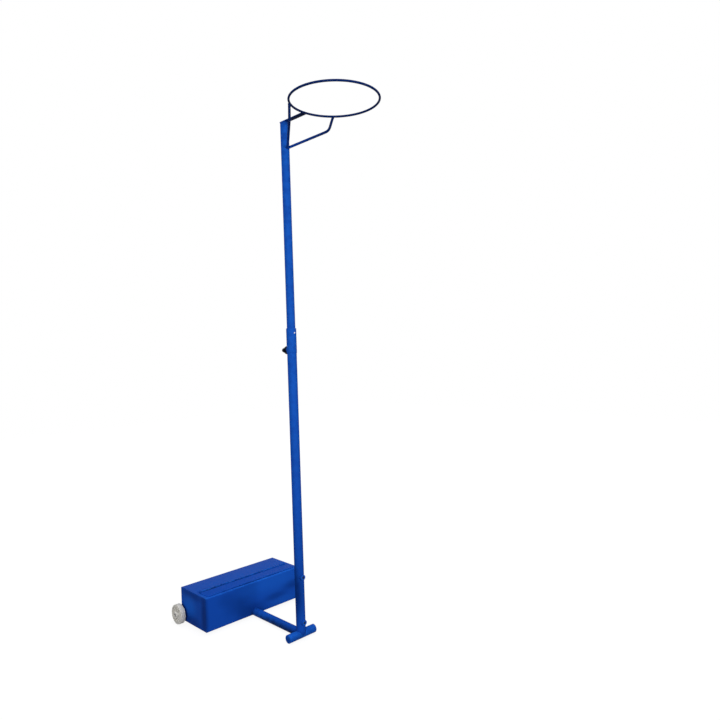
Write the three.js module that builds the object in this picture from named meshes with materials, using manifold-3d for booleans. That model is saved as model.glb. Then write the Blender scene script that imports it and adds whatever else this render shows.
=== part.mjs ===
// Height-adjustable netball post on a wheeled weight box.
//
// Millimetres, +Z up. The ring points along -Y, the weight box stands behind the pole along +Y.
// Every piece is placed from the pole's axis at floor level. The finished group is then moved along Y
// so that the origin is the middle of the post's outline on the floor.

import * as THREE from 'three';
import { mergeVertices } from 'three/addons/utils/BufferGeometryUtils.js';
import Module from 'manifold-3d';

const wasm = await Module();
wasm.setup();

// Clearances and cutting

const seat_gap = 0.3; // between two pieces that sit on each other
const overrun = 10; // how far a cutting tool runs past what it cuts
const round_sides = 32; // sides of a pole, a leg or a wheel
const small_sides = 20; // sides of a screw, a boss or an axle
const pin_sides = 12; // sides of a hinge pin

// Lower pole, its stub and its two front screws

const lower_pole_diameter = 45;
const lower_pole_wall = 2;
const lower_pole_top = 1471; // height of the open end above the floor
const stub_diameter = 40;
const stub_wall = 2.5;
const stub_above_screw = 35; // stub left above the upper screw
const lower_screw_height = 80;
const upper_screw_height = 295;
const pole_boss_diameter = 25;
const pole_boss_height = 8;
const pole_screw_diameter = 12;
const pole_screw_recess = 2; // screw head below the boss's face
const pole_screw_socket = 6; // across the flats
const pole_screw_socket_depth = 4;

// Clamp collar and hand knob

const collar_wall = 1;
const collar_length = 115;
const clamp_above_collar_foot = 13;
const clamp_boss_diameter = 20;
const clamp_boss_height = 10;
const clamp_screw_diameter = 10;
const clamp_pad_thickness = 2.5;
const clamp_pad_play = 0.6; // pad radius below the screw's
const knob_standoff = 2.5; // knob to boss when clamped
const knob_thickness = 14;
const knob_mid_radius = 17.5;
const knob_lobe_height = 3.5;
const knob_lobes = 3;
const knob_outline_points = 48;
const knob_bevel = 2;
const knob_bore_depth = 10;

// Sliding mast and netball ring

const mast_diameter = 40;
const mast_wall = 2;
const mast_insertion = 760; // length of mast inside the lower pole at this setting
const plug_flange = 3;
const plug_spigot = 20;
const mast_cap_thickness = 3;
const ring_top_height = 2440;
const ring_inside_diameter = 380;
const ring_rod_diameter = 10;
const ring_reach = 150; // pole axis to the middle of the ring's rod
const ring_steps = 72;
const ring_rod_sides = 12;
const arm_width = 25;
const arm_thickness = 5;
const brace_rod_diameter = 12;
const brace_foot_drop = 125; // ring's rod down to the foot of the braces
const brace_bend_drop = 63; // ring's rod down to the bend
const brace_bend_run = 18; // straight rod given up to the bend on each side
const brace_end_short = 4; // rod's end to the middle of the ring's rod
const brace_bend_share = 0.9; // of the way from the pole to the ring
const brace_spread = THREE.MathUtils.degToRad(41); // round the ring, from the arm
const brace_steps = 30;
const brace_sides = 12;

// Foot and leg

const foot_diameter = 40;
const foot_wall = 2.5;
const foot_length = 160;
const foot_cap_thickness = 3;
const leg_diameter = 40;
const leg_wall = 2.5;
const leg_rise = 1.5; // leg above the floor

// Weight box

const box_front = 366; // pole axis to the front of the box
const box_length = 576;
const box_depth = 238;
const box_height = 167;
const box_ground_gap = 10;
const sheet = 3;
const fold_radius = 4.5;
const fold_segments = 4;

// Lid and its hinge

const lid_thickness = 2;
const lid_end_inset = 18;
const lid_front_inset = 13;
const lid_corner_radius = 18;
const lid_overlap = 9; // lid past the edge of the mouth at the front and the ends
const lid_seat = 7; // top plate in front of the hinge pin
const hinge_from_front = 90;
const hinge_pin_diameter = 5;
const hinge_leaf_thickness = 1.5;
const hinge_leaf_width = 22;
const hinge_knuckle_pitch = 40;
const hinge_knuckle_gap = 2;

// Ballast weights

const weight_count = 4;
const weight_height = 130;
const weight_spacing = 4;
const weight_bevel = 4;

// Axle and wheels

const wheel_diameter = 98;
const wheel_width = 26;
const wheel_edge = 2; // chamfer of the tread
const wheel_rim = 9; // radial thickness
const wheel_recess = 7;
const wheel_hub_diameter = 34;
const wheel_hub_proud = 8;
const hub_pocket_diameter = 18; // round pocket in the hub's outer end
const hub_pocket_depth = 12;
const wheel_gap = 12; // box end to wheel
const axle_diameter = 12;
const axle_from_back = 12; // box back to the axle's middle
const spacer_wall = 4;
const washer_thickness = 1.5;
const clip_thickness = 1;
const clip_groove_depth = 0.8;
const clip_lip = 2.3; // clip past the axle's surface
const clip_mouth = THREE.MathUtils.degToRad(70); // open part of the clip
const clip_steps = 24;
const axle_past_clip = 2;

// Worked-out places

const lower_pole_radius = lower_pole_diameter / 2;
const lower_pole_bore = lower_pole_radius - lower_pole_wall;
const stub_radius = stub_diameter / 2;
const stub_top = upper_screw_height + stub_above_screw;
const collar_bore = lower_pole_radius + seat_gap;
const collar_radius = collar_bore + collar_wall;
const clamp_height = lower_pole_top - collar_length + clamp_above_collar_foot;
const mast_radius = mast_diameter / 2;
const mast_bore = mast_radius - mast_wall;
const ring_radius = (ring_inside_diameter + ring_rod_diameter) / 2;
const ring_axis_height = ring_top_height - ring_rod_diameter / 2;
const ring_centre = -(ring_reach + ring_radius);
const arm_bottom = ring_axis_height - arm_thickness / 2;
const cap_bottom = arm_bottom - seat_gap - mast_cap_thickness;
const mast_top = cap_bottom - seat_gap;
const mast_bottom = lower_pole_top - mast_insertion;
const foot_radius = foot_diameter / 2;
const leg_radius = leg_diameter / 2;
const leg_height = leg_rise + leg_radius;
const box_back = box_front + box_depth;
const box_top = box_ground_gap + box_height;
const box_end = box_length / 2;
const hinge_line = box_front + hinge_from_front;
const lid_front = box_front + lid_front_inset;
const mouth_front = lid_front + lid_overlap;
const mouth_back = hinge_line - lid_seat;
const knuckle_bore = hinge_pin_diameter / 2 + seat_gap;
const knuckle_radius = knuckle_bore + hinge_leaf_thickness;
const hinge_height = box_top + seat_gap + knuckle_radius;
const lid_bottom = box_top + seat_gap;
const lid_end = box_end - lid_end_inset;
const lid_top = lid_bottom + hinge_leaf_thickness + seat_gap + lid_thickness;
const lid_back = hinge_line - knuckle_radius - 2 * seat_gap;
const mouth_end = lid_end - lid_overlap;
const hinge_end = lid_end - lid_thickness - seat_gap;
const wheel_radius = wheel_diameter / 2;
const axle_height = wheel_radius;
const axle_place = box_back - axle_from_back;
const axle_radius = axle_diameter / 2;
const axle_bore = axle_radius + seat_gap;
const hub_face = box_end + wheel_gap + wheel_width + wheel_hub_proud;
const hub_floor = hub_face - hub_pocket_depth;
const washer_face = hub_floor + seat_gap + washer_thickness;
const clip_inner_face = washer_face + seat_gap;
const groove_end = clip_inner_face + clip_thickness + seat_gap;
const axle_end = groove_end + axle_past_clip;

// Finishes

const blue_paint = new THREE.MeshStandardMaterial({ color: 0x1450b4, roughness: 0.32, metalness: 0.0 });
const zinc = new THREE.MeshStandardMaterial({ color: 0xb4b8bc, roughness: 0.35, metalness: 1.0 });
const black_steel = new THREE.MeshStandardMaterial({ color: 0x26282c, roughness: 0.45, metalness: 1.0 });
const nylon = new THREE.MeshStandardMaterial({ color: 0xd9d7d0, roughness: 0.5, metalness: 0.0 });
const black_plastic = new THREE.MeshStandardMaterial({ color: 0x0c0d10, roughness: 0.4, metalness: 0.0 });
const brass = new THREE.MeshStandardMaterial({ color: 0xb08d3c, roughness: 0.35, metalness: 1.0 });
const cast_iron = new THREE.MeshStandardMaterial({ color: 0x3a3b3d, roughness: 0.75, metalness: 0.6 });

// Shape helpers

function piece(name, geometry, finish) {
  const mesh = new THREE.Mesh(geometry, finish);
  mesh.name = name;
  return mesh;
}

// A closed mesh as a solid that can be joined and cut.
function solidOf(geometry) {
  const bare = geometry.clone();
  bare.deleteAttribute('normal');
  bare.deleteAttribute('uv');
  const merged = mergeVertices(bare);
  return new wasm.Manifold(new wasm.Mesh({
    numProp: 3,
    vertProperties: Float32Array.from(merged.attributes.position.array),
    triVerts: Uint32Array.from(merged.index.array),
  }));
}

function geometryOf(solid) {
  const mesh = solid.getMesh();
  const geometry = new THREE.BufferGeometry();
  geometry.setAttribute('position', new THREE.BufferAttribute(mesh.vertProperties, 3));
  geometry.setIndex(new THREE.BufferAttribute(mesh.triVerts, 1));
  return geometry;
}

// Turns a shape made along +Y so that it runs along the named axis.
function runAlong(axis, geometry) {
  if (axis === 'x') geometry.rotateZ(-Math.PI / 2);
  if (axis === 'z') geometry.rotateX(Math.PI / 2);
  return geometry;
}

// A profile of [radius, height] pairs from the named axis and back to it, turned about that axis.
function turnedSolid(axis, profile, sides) {
  const points = profile.map(([radius, height]) => new THREE.Vector2(radius, height));
  return runAlong(axis, new THREE.LatheGeometry(points, sides));
}

// A profile that closes on itself, turned about the named axis.
function turnedRing(axis, profile, sides) {
  return turnedSolid(axis, [...profile, profile[0]], sides);
}

function tube(axis, outer, inner, start, end, sides = round_sides) {
  return turnedRing(axis, [[outer, start], [outer, end], [inner, end], [inner, start]], sides);
}

function rod(axis, radius, start, end, sides = round_sides) {
  const shape = new THREE.CylinderGeometry(radius, radius, end - start, sides);
  shape.translate(0, (start + end) / 2, 0);
  return runAlong(axis, shape);
}

function block(x, y, z) {
  const shape = new THREE.BoxGeometry(x[1] - x[0], y[1] - y[0], z[1] - z[0]);
  return shape.translate((x[0] + x[1]) / 2, (y[0] + y[1]) / 2, (z[0] + z[1]) / 2);
}

// Radius of a polygon whose flats, not its corners, lie on the true circle.
function flatsOn(radius, sides) {
  return radius / Math.cos(Math.PI / sides);
}

// An outline of [y, z, corner radius] points, pushed along X from start to end.
function pushedAlongX(corners, start, end) {
  const outline = new THREE.Shape();
  const count = corners.length;
  corners.forEach(([y, z, radius], index) => {
    const corner = new THREE.Vector2(y, z);
    const before = new THREE.Vector2(...corners[(index + count - 1) % count]).sub(corner).setLength(radius);
    const after = new THREE.Vector2(...corners[(index + 1) % count]).sub(corner).setLength(radius);
    const first = corner.clone().add(before);
    const last = corner.clone().add(after);
    if (index === 0) outline.moveTo(first.x, first.y);
    else outline.lineTo(first.x, first.y);
    if (radius > 0) outline.quadraticCurveTo(corner.x, corner.y, last.x, last.y);
  });
  const shape = new THREE.ExtrudeGeometry(outline, {
    depth: end - start, bevelEnabled: false, curveSegments: fold_segments,
  });
  shape.translate(0, 0, start);
  const turn = new THREE.Matrix4().makeBasis(
    new THREE.Vector3(0, 1, 0), new THREE.Vector3(0, 0, 1), new THREE.Vector3(1, 0, 0));
  return shape.applyMatrix4(turn);
}

// Foot, leg and stub: the welded base

function footCut() {
  return solidOf(rod('x', foot_radius + seat_gap, -foot_length, foot_length)
    .translate(0, 0, foot_radius));
}

function makeFoot() {
  const group = new THREE.Group();
  const half = foot_length / 2;
  const wall_end = half - foot_cap_thickness - seat_gap;
  const outer = flatsOn(foot_radius, round_sides);
  const half_step = Math.PI / round_sides;
  const body = tube('x', outer, foot_radius - foot_wall, -wall_end, wall_end);
  const foot = piece('cross_foot', body.rotateX(half_step), blue_paint);
  foot.position.z = foot_radius;
  group.add(foot);
  for (const [side, sign] of [['left', -1], ['right', 1]]) {
    const cap = rod('x', outer, half - foot_cap_thickness, half);
    const mesh = piece(`foot_cap_${side}`, cap.rotateX(half_step), blue_paint);
    mesh.position.z = foot_radius;
    mesh.rotation.z = sign > 0 ? 0 : Math.PI;
    group.add(mesh);
  }
  return group;
}

function makeLeg() {
  const end = box_front - seat_gap;
  const body = solidOf(tube('y', leg_radius, leg_radius - leg_wall, 0, end)
    .translate(0, 0, leg_height));
  const stub = solidOf(rod('z', stub_radius + seat_gap, -overrun, leg_height + leg_diameter));
  return piece('leg_tube', geometryOf(body.subtract(stub).subtract(footCut())), blue_paint);
}

function makeStub() {
  const body = solidOf(tube('z', stub_radius, stub_radius - stub_wall, foot_radius, stub_top));
  return piece('pole_stub', geometryOf(body.subtract(footCut())), blue_paint);
}

// Lower pole with its front screws and clamp collar

// The slot that lets the lower pole pass down over the leg.
function legSlot() {
  const reach = leg_radius + seat_gap;
  const top = solidOf(rod('y', reach, 0, lower_pole_diameter).translate(0, 0, leg_height));
  const below = solidOf(block([-reach, reach], [0, lower_pole_diameter], [-overrun, leg_height]));
  return top.add(below);
}

function screwHole(height) {
  const hole = rod('y', pole_screw_diameter / 2 + seat_gap, -lower_pole_diameter, 0, small_sides);
  return solidOf(hole.translate(0, 0, height));
}

function clampHole() {
  const hole = rod('y', clamp_screw_diameter / 2 + seat_gap, 0, lower_pole_diameter, small_sides);
  return solidOf(hole.translate(0, 0, clamp_height));
}

function makeLowerPole() {
  const body = solidOf(tube('z', lower_pole_radius, lower_pole_bore, foot_radius, lower_pole_top));
  const cut = body.subtract(footCut()).subtract(legSlot()).subtract(screwHole(lower_screw_height))
    .subtract(screwHole(upper_screw_height)).subtract(clampHole());
  return piece('lower_pole', geometryOf(cut), blue_paint);
}

function makePoleScrew(level, height) {
  const group = new THREE.Group();
  const boss_face = -(lower_pole_radius + pole_boss_height);
  const hole = pole_screw_diameter / 2 + seat_gap;
  const ring = solidOf(tube('y', pole_boss_diameter / 2, hole, boss_face, 0, small_sides));
  const pole = solidOf(rod('z', lower_pole_radius + seat_gap, -pole_boss_diameter, pole_boss_diameter));
  const boss = piece(`pole_boss_${level}`, geometryOf(ring.subtract(pole)), blue_paint);
  const head = boss_face + pole_screw_recess;
  const tip = -(stub_radius + seat_gap);
  const shank = solidOf(rod('y', pole_screw_diameter / 2, head, tip, small_sides));
  const socket_radius = flatsOn(pole_screw_socket / 2, 6);
  const socket = solidOf(rod('y', socket_radius, head - overrun, head + pole_screw_socket_depth, 6));
  const screw = piece(`pole_screw_${level}`, geometryOf(shank.subtract(socket)), black_steel);
  group.add(boss, screw);
  group.position.z = height;
  return group;
}

function makeCollar() {
  const foot = lower_pole_top - collar_length;
  const sleeve = solidOf(tube('z', collar_radius, collar_bore, foot, lower_pole_top));
  const collar = piece('pole_collar', geometryOf(sleeve.subtract(clampHole())), blue_paint);
  const hole = clamp_screw_diameter / 2 + seat_gap;
  const face = collar_radius + clamp_boss_height;
  const ring = solidOf(tube('y', clamp_boss_diameter / 2, hole, 0, face, small_sides));
  const pole = solidOf(rod('z', collar_radius + seat_gap, -clamp_boss_diameter, clamp_boss_diameter));
  const boss = piece('clamp_boss', geometryOf(ring.subtract(pole)), blue_paint);
  boss.position.z = clamp_height;
  const group = new THREE.Group();
  group.add(collar, boss);
  return group;
}

// Hand knob, its screw and the pad that bears on the mast

function knobOutline() {
  const outline = new THREE.Shape();
  for (let index = 0; index < knob_outline_points; index += 1) {
    const angle = (index / knob_outline_points) * 2 * Math.PI;
    const lobe = Math.cos(knob_lobes * (angle - Math.PI));
    const radius = knob_mid_radius - knob_bevel + knob_lobe_height * lobe;
    const x = radius * Math.cos(angle);
    const y = radius * Math.sin(angle);
    if (index === 0) outline.moveTo(x, y);
    else outline.lineTo(x, y);
  }
  outline.closePath();
  return outline;
}

function makeClamp() {
  const pad_face = mast_radius + seat_gap;
  const pad_back = pad_face + clamp_pad_thickness;
  const screw_radius = clamp_screw_diameter / 2;
  const pad = piece('clamp_pad',
    rod('y', screw_radius - clamp_pad_play, pad_face, pad_back, small_sides), brass);

  const knob_face = collar_radius + clamp_boss_height + knob_standoff;
  const bore_end = knob_face + knob_bore_depth;
  const screw = piece('clamp_screw',
    rod('y', screw_radius, pad_back + seat_gap, bore_end - seat_gap, small_sides), zinc);

  const body = new THREE.ExtrudeGeometry(knobOutline(), {
    depth: knob_thickness - 2 * knob_bevel, steps: 1, bevelEnabled: true, bevelSegments: 2,
    bevelSize: knob_bevel, bevelThickness: knob_bevel,
  });
  body.rotateX(-Math.PI / 2).translate(0, knob_face + knob_bevel, 0);
  const bore = rod('y', screw_radius + seat_gap, knob_face - overrun, bore_end, small_sides);
  const knob = piece('clamp_knob', geometryOf(solidOf(body).subtract(solidOf(bore))), black_plastic);

  const group = new THREE.Group();
  group.add(pad, screw, knob);
  group.position.z = clamp_height;
  return group;
}

// Sliding mast, ring and braces

function makeMastTube() {
  const group = new THREE.Group();
  const cap = rod('z', mast_radius, cap_bottom, cap_bottom + mast_cap_thickness);
  group.add(piece('mast_tube', tube('z', mast_radius, mast_bore, mast_bottom, mast_top), blue_paint));
  group.add(piece('mast_cap', cap, blue_paint));

  const flange_top = mast_bottom - seat_gap;
  const spigot = mast_bore - seat_gap;
  const profile = [
    [0, flange_top - plug_flange], [mast_radius, flange_top - plug_flange], [mast_radius, flange_top],
    [spigot, flange_top], [spigot, flange_top + plug_spigot], [0, flange_top + plug_spigot],
  ];
  group.add(piece('mast_plug', turnedSolid('z', profile, round_sides), black_plastic));
  return group;
}

function ringGeometry(rod_radius) {
  const ring = new THREE.TorusGeometry(ring_radius, rod_radius, ring_rod_sides, ring_steps);
  return ring.translate(0, ring_centre, ring_axis_height);
}

function makeArm() {
  const front = -(ring_reach - ring_rod_diameter / 2 - seat_gap);
  const bar = block([-arm_width / 2, arm_width / 2], [front, mast_radius],
    [arm_bottom, arm_bottom + arm_thickness]);
  return piece('ring_arm', bar, blue_paint);
}

// Middle line of one brace: out from the pole's face, round one bend, up to the ring.
function bracePath(sign) {
  const foot = new THREE.Vector3(0, -mast_bore, ring_axis_height - brace_foot_drop);
  const head = new THREE.Vector3(sign * ring_radius * Math.sin(brace_spread),
    ring_centre + ring_radius * Math.cos(brace_spread), ring_axis_height);
  const bend = foot.clone().lerp(head, brace_bend_share);
  bend.z = ring_axis_height - brace_bend_drop;
  const back_along = (from, to, length) => from.clone().add(to.clone().sub(from).setLength(length));
  const enter = back_along(bend, foot, brace_bend_run);
  const leave = back_along(bend, head, brace_bend_run);
  const end = back_along(head, bend, brace_end_short);
  const path = new THREE.CurvePath();
  path.add(new THREE.LineCurve3(foot, enter));
  path.add(new THREE.QuadraticBezierCurve3(enter, bend, leave));
  path.add(new THREE.LineCurve3(leave, end));
  return path;
}

function makeBrace(side, sign) {
  const section = new THREE.Shape();
  section.absarc(0, 0, brace_rod_diameter / 2, 0, 2 * Math.PI);
  const bar = new THREE.ExtrudeGeometry(section, {
    steps: brace_steps, curveSegments: brace_sides, extrudePath: bracePath(sign),
  });
  const pole = solidOf(rod('z', mast_radius + seat_gap, mast_bottom, mast_top));
  const ring = solidOf(ringGeometry(ring_rod_diameter / 2 + seat_gap));
  const near = seat_gap / 2;
  const far = ring_inside_diameter;
  const half = solidOf(block(sign > 0 ? [near, far] : [-far, -near], [ring_centre, 0],
    [mast_bottom, ring_top_height]));
  const trimmed = solidOf(bar).intersect(half).subtract(pole).subtract(ring);
  return piece(`brace_${side}`, geometryOf(trimmed), blue_paint);
}

function makeRingHead() {
  const group = new THREE.Group();
  group.add(makeArm(), piece('ring', ringGeometry(ring_rod_diameter / 2), blue_paint));
  group.add(makeBrace('left', -1), makeBrace('right', 1));
  return group;
}

// Weight box: one folded sheet and two end plates

// The four corners of the box's section, drawn in by one distance on every side.
function boxSection(inset, radius) {
  const low = box_ground_gap + inset;
  const high = box_top - inset;
  const front = box_front + inset;
  const back = box_back - inset;
  return [[front, high, radius], [front, low, radius], [back, low, radius], [back, high, radius]];
}

function makeBoxBody() {
  const outside = solidOf(pushedAlongX(boxSection(0, fold_radius), -box_end, box_end));
  const reach = box_end + overrun;
  const inside = solidOf(pushedAlongX(boxSection(sheet, fold_radius - sheet), -reach, reach));
  const mouth = solidOf(block([-mouth_end, mouth_end], [mouth_front, mouth_back],
    [box_top - sheet - overrun, box_top + overrun]));
  return piece('box_body', geometryOf(outside.subtract(inside).subtract(mouth)), blue_paint);
}

function axleHole() {
  const reach = box_length;
  return solidOf(rod('x', axle_bore, -reach, reach, small_sides).translate(0, axle_place, axle_height));
}

function makeBoxEnd(side, sign) {
  const section = boxSection(sheet + seat_gap, fold_radius - sheet);
  const range = sign > 0 ? [box_end - sheet, box_end] : [-box_end, -box_end + sheet];
  const plate = solidOf(pushedAlongX(section, ...range));
  return piece(`box_end_${side}`, geometryOf(plate.subtract(axleHole())), blue_paint);
}

function makeWeights() {
  const group = new THREE.Group();
  const inside = box_length - 2 * (sheet + seat_gap);
  const length = (inside - (weight_count + 1) * weight_spacing) / weight_count;
  const front = mouth_front + weight_spacing;
  const back = mouth_back - weight_spacing;
  const low = box_ground_gap + sheet + seat_gap;
  for (let index = 0; index < weight_count; index += 1) {
    const start = -inside / 2 + weight_spacing + index * (length + weight_spacing);
    const outline = new THREE.Shape();
    const near = start + weight_bevel;
    const far = start + length - weight_bevel;
    outline.moveTo(near, front + weight_bevel);
    outline.lineTo(far, front + weight_bevel);
    outline.lineTo(far, back - weight_bevel);
    outline.lineTo(near, back - weight_bevel);
    outline.closePath();
    const body = new THREE.ExtrudeGeometry(outline, {
      depth: weight_height - 2 * weight_bevel, bevelEnabled: true, bevelSegments: 1,
      bevelSize: weight_bevel, bevelThickness: weight_bevel,
    });
    body.translate(0, 0, low + weight_bevel);
    group.add(piece(`ballast_weight_${index + 1}`, body, cast_iron));
  }
  return group;
}

// Lid and its long hinge

// Start and end along X of each hinge knuckle, from one end of the hinge to the other.
function knuckles() {
  const length = 2 * hinge_end;
  const count = 2 * Math.floor(length / hinge_knuckle_pitch / 2) + 1;
  const pitch = length / count;
  return Array.from({ length: count }, (_, index) => [
    -hinge_end + index * pitch + hinge_knuckle_gap / 2,
    -hinge_end + (index + 1) * pitch - hinge_knuckle_gap / 2,
  ]);
}

// One leaf: a strip on its side of the pin, joined by a tongue to every second knuckle.
function hingeLeaf(name, first, sign) {
  const level = [-knuckle_radius, -knuckle_radius + hinge_leaf_thickness];
  const near = knuckle_radius + seat_gap;
  const across = (from, to) => (sign > 0 ? [from, to] : [-to, -from]);
  let leaf = solidOf(block([-hinge_end, hinge_end], across(near, hinge_leaf_width), level));
  const spans = knuckles();
  for (let index = first; index < spans.length; index += 2) {
    const [start, end] = spans[index];
    leaf = leaf.add(solidOf(rod('x', knuckle_radius, start, end, small_sides)));
    leaf = leaf.add(solidOf(block([start, end], across(0, near + hinge_leaf_thickness), level)));
  }
  const bore = solidOf(rod('x', knuckle_bore, -box_length, box_length, pin_sides));
  const mesh = piece(name, geometryOf(leaf.subtract(bore)), blue_paint);
  mesh.position.set(0, hinge_line, hinge_height);
  return mesh;
}

// The lid's outline seen from above, drawn in by one distance at the front and the ends.
function lidOutline(inset, back) {
  const end = lid_end - inset;
  const front = lid_front + inset;
  const radius = lid_corner_radius - inset;
  const outline = new THREE.Shape();
  outline.moveTo(-end, back);
  outline.lineTo(-end, front + radius);
  outline.absarc(-end + radius, front + radius, radius, Math.PI, 1.5 * Math.PI);
  outline.absarc(end - radius, front + radius, radius, 1.5 * Math.PI, 2 * Math.PI);
  outline.lineTo(end, back);
  outline.closePath();
  return outline;
}

// A sheet with its front and ends turned down onto the box.
function makeLidPanel() {
  const height = lid_top - lid_bottom;
  const settings = { depth: height, bevelEnabled: false, curveSegments: round_sides / 4 };
  const outside = new THREE.ExtrudeGeometry(lidOutline(0, lid_back), settings);
  const inside = new THREE.ExtrudeGeometry(lidOutline(lid_thickness, lid_back + overrun), settings);
  outside.translate(0, 0, lid_bottom);
  inside.translate(0, 0, lid_bottom - lid_thickness);
  return piece('box_lid', geometryOf(solidOf(outside).subtract(solidOf(inside))), blue_paint);
}

function makeLid() {
  const pin = rod('x', hinge_pin_diameter / 2, -hinge_end, hinge_end, pin_sides);
  const pin_mesh = piece('hinge_pin', pin, blue_paint);
  pin_mesh.position.set(0, hinge_line, hinge_height);
  const group = new THREE.Group();
  group.add(makeLidPanel(), pin_mesh);
  group.add(hingeLeaf('hinge_leaf_fixed', 0, 1), hingeLeaf('hinge_leaf_moving', 1, -1));
  return group;
}

// Axle, wheels and what holds them on

// A plain rod with a groove for a clip near each end.
function makeAxle() {
  const groove = axle_radius - clip_groove_depth;
  const right = [
    [axle_radius, washer_face], [groove, washer_face], [groove, groove_end],
    [axle_radius, groove_end], [axle_radius, axle_end], [0, axle_end],
  ];
  const left = right.map(([radius, place]) => [radius, -place]).reverse();
  return piece('axle', turnedSolid('x', [...left, ...right], small_sides), blue_paint);
}

// An open ring that snaps into the axle's groove, with its mouth down.
function clipShape() {
  const outer = axle_radius + clip_lip;
  const inner = axle_radius - clip_groove_depth + seat_gap;
  const start = clip_mouth / 2;
  const end = 2 * Math.PI - start;
  const outline = new THREE.Shape();
  outline.absarc(0, 0, outer, start, end, false);
  outline.absarc(0, 0, inner, end, start, true);
  outline.closePath();
  const shape = new THREE.ExtrudeGeometry(outline, {
    depth: clip_thickness, bevelEnabled: false, curveSegments: clip_steps,
  });
  return shape.rotateY(Math.PI / 2).translate(clip_inner_face, 0, 0);
}

// Each piece here is made for the right end, along +X; the left end is the same, turned round.
function makeWheelEnd(side) {
  const inner = box_end + wheel_gap;
  const outer = inner + wheel_width;
  const tread = flatsOn(wheel_radius, round_sides);
  const rim = wheel_radius - wheel_rim;
  const hub = wheel_hub_diameter / 2;
  const pocket = hub_pocket_diameter / 2;
  const wheel = turnedRing('x', [
    [tread - wheel_edge, inner], [tread, inner + wheel_edge], [tread, outer - wheel_edge],
    [tread - wheel_edge, outer], [rim, outer], [rim, outer - wheel_recess], [hub, outer - wheel_recess],
    [hub, hub_face], [pocket, hub_face], [pocket, hub_floor], [axle_bore, hub_floor], [axle_bore, inner],
    [hub, inner], [hub, inner + wheel_recess], [rim, inner + wheel_recess], [rim, inner],
  ], round_sides);
  const spacer_radius = axle_bore + spacer_wall;
  const spacer = tube('x', spacer_radius, axle_bore, box_end + seat_gap, inner - seat_gap, small_sides);
  const washer = tube('x', pocket - seat_gap, axle_bore, hub_floor + seat_gap, washer_face, small_sides);

  const group = new THREE.Group();
  group.add(piece(`axle_spacer_${side}`, spacer, zinc));
  group.add(piece(`wheel_${side}`, wheel.rotateX(Math.PI / round_sides), nylon));
  group.add(piece(`axle_washer_${side}`, washer, zinc));
  group.add(piece(`axle_clip_${side}`, clipShape(), black_steel));
  return group;
}

function makeRunningGear() {
  const group = new THREE.Group();
  const left = makeWheelEnd('left');
  left.rotation.z = Math.PI;
  group.add(makeAxle(), left, makeWheelEnd('right'));
  group.position.set(0, axle_place, axle_height);
  return group;
}

// The whole post

const post = new THREE.Group();
post.add(makeFoot(), makeLeg(), makeStub());
post.add(makeLowerPole(), makeCollar());
post.add(makePoleScrew('lower', lower_screw_height), makePoleScrew('upper', upper_screw_height));
post.add(makeClamp());
post.add(makeMastTube(), makeRingHead());
post.add(makeBoxBody(), makeBoxEnd('left', -1), makeBoxEnd('right', 1), makeWeights());
post.add(makeLid(), makeRunningGear());

const front_reach = ring_reach + 2 * ring_radius + ring_rod_diameter / 2;
const back_reach = axle_place + wheel_radius;
post.position.y = (front_reach - back_reach) / 2;

export default post;
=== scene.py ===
"""Looks of a height-adjustable netball post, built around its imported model.

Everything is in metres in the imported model's own frame: +Z is up, the ring points along -Y, and the
weight box stands behind the pole along +Y. The pole's axis is at y = POLE_Y.
"""

import logging
import math
from collections.abc import Callable, Iterable, Sequence
from dataclasses import dataclass
from enum import Enum

import bmesh
import bpy
from bmesh.types import BMEdge, BMFace, BMVert
from bpy.types import Material, NodeSocket
from mathutils import Matrix, Vector


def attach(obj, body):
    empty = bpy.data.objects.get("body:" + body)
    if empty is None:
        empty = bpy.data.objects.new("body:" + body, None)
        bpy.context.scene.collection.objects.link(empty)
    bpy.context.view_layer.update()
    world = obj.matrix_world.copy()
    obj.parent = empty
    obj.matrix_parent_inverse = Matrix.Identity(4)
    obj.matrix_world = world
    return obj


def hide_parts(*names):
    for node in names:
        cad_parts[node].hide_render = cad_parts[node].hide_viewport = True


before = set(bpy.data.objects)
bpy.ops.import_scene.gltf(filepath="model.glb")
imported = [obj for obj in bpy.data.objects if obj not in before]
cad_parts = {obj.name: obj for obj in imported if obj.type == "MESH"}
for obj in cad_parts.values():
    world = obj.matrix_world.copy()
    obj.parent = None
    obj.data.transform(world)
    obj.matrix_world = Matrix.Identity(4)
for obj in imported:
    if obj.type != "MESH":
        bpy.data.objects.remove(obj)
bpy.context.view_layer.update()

log = logging.getLogger("netball_post")

Colour = tuple[float, float, float]
Point = tuple[float, float, float]

POLE_Y = -0.048
AXLE_Y = 0.544
AXLE_HEIGHT = 0.049
FULL_TURN = 2 * math.pi
SHARP_ANGLE = math.radians(38)
RIM = 0.0006  # the rounding of a tube's cut end
PROUD = 0.0004  # how far a weld stands off the edge that it covers
MERGE = 1e-6  # points nearer to each other than this become one
NEAR = 1e-4  # a point within this of a place counts as there
CUT = 1e-7  # a point within this of a cutting plane lies on it
FACING = 0.9  # a face with more than this share of an axis in its direction faces along it
RUN = 0.001  # an edge that covers more than this along an axis runs along it
# on the blue paint these edges are lighter, partly from wear and partly as a painted highlight
EDGE = "edge"  # attribute: 1 on the rounded edges of a piece, where paint wears first


class Axis(Enum):
    """The three directions that a turned piece can run along, with their turns from Z."""

    X = Matrix.Rotation(math.pi / 2, 4, "Y")
    Y = Matrix.Rotation(-math.pi / 2, 4, "X")
    Z = Matrix.Identity(4)


class Side(Enum):
    """The two ends of the foot, the weight box and the axle."""

    LEFT = -1
    RIGHT = 1

    @property
    def word(self) -> str:
        """The side's name in lower case."""
        return self.name.lower()

    def turn(self) -> Matrix:
        """The turn that takes a piece made for the right end to this one."""
        return Matrix.Rotation(0.0 if self is Side.RIGHT else math.pi, 4, "Z")


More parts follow.
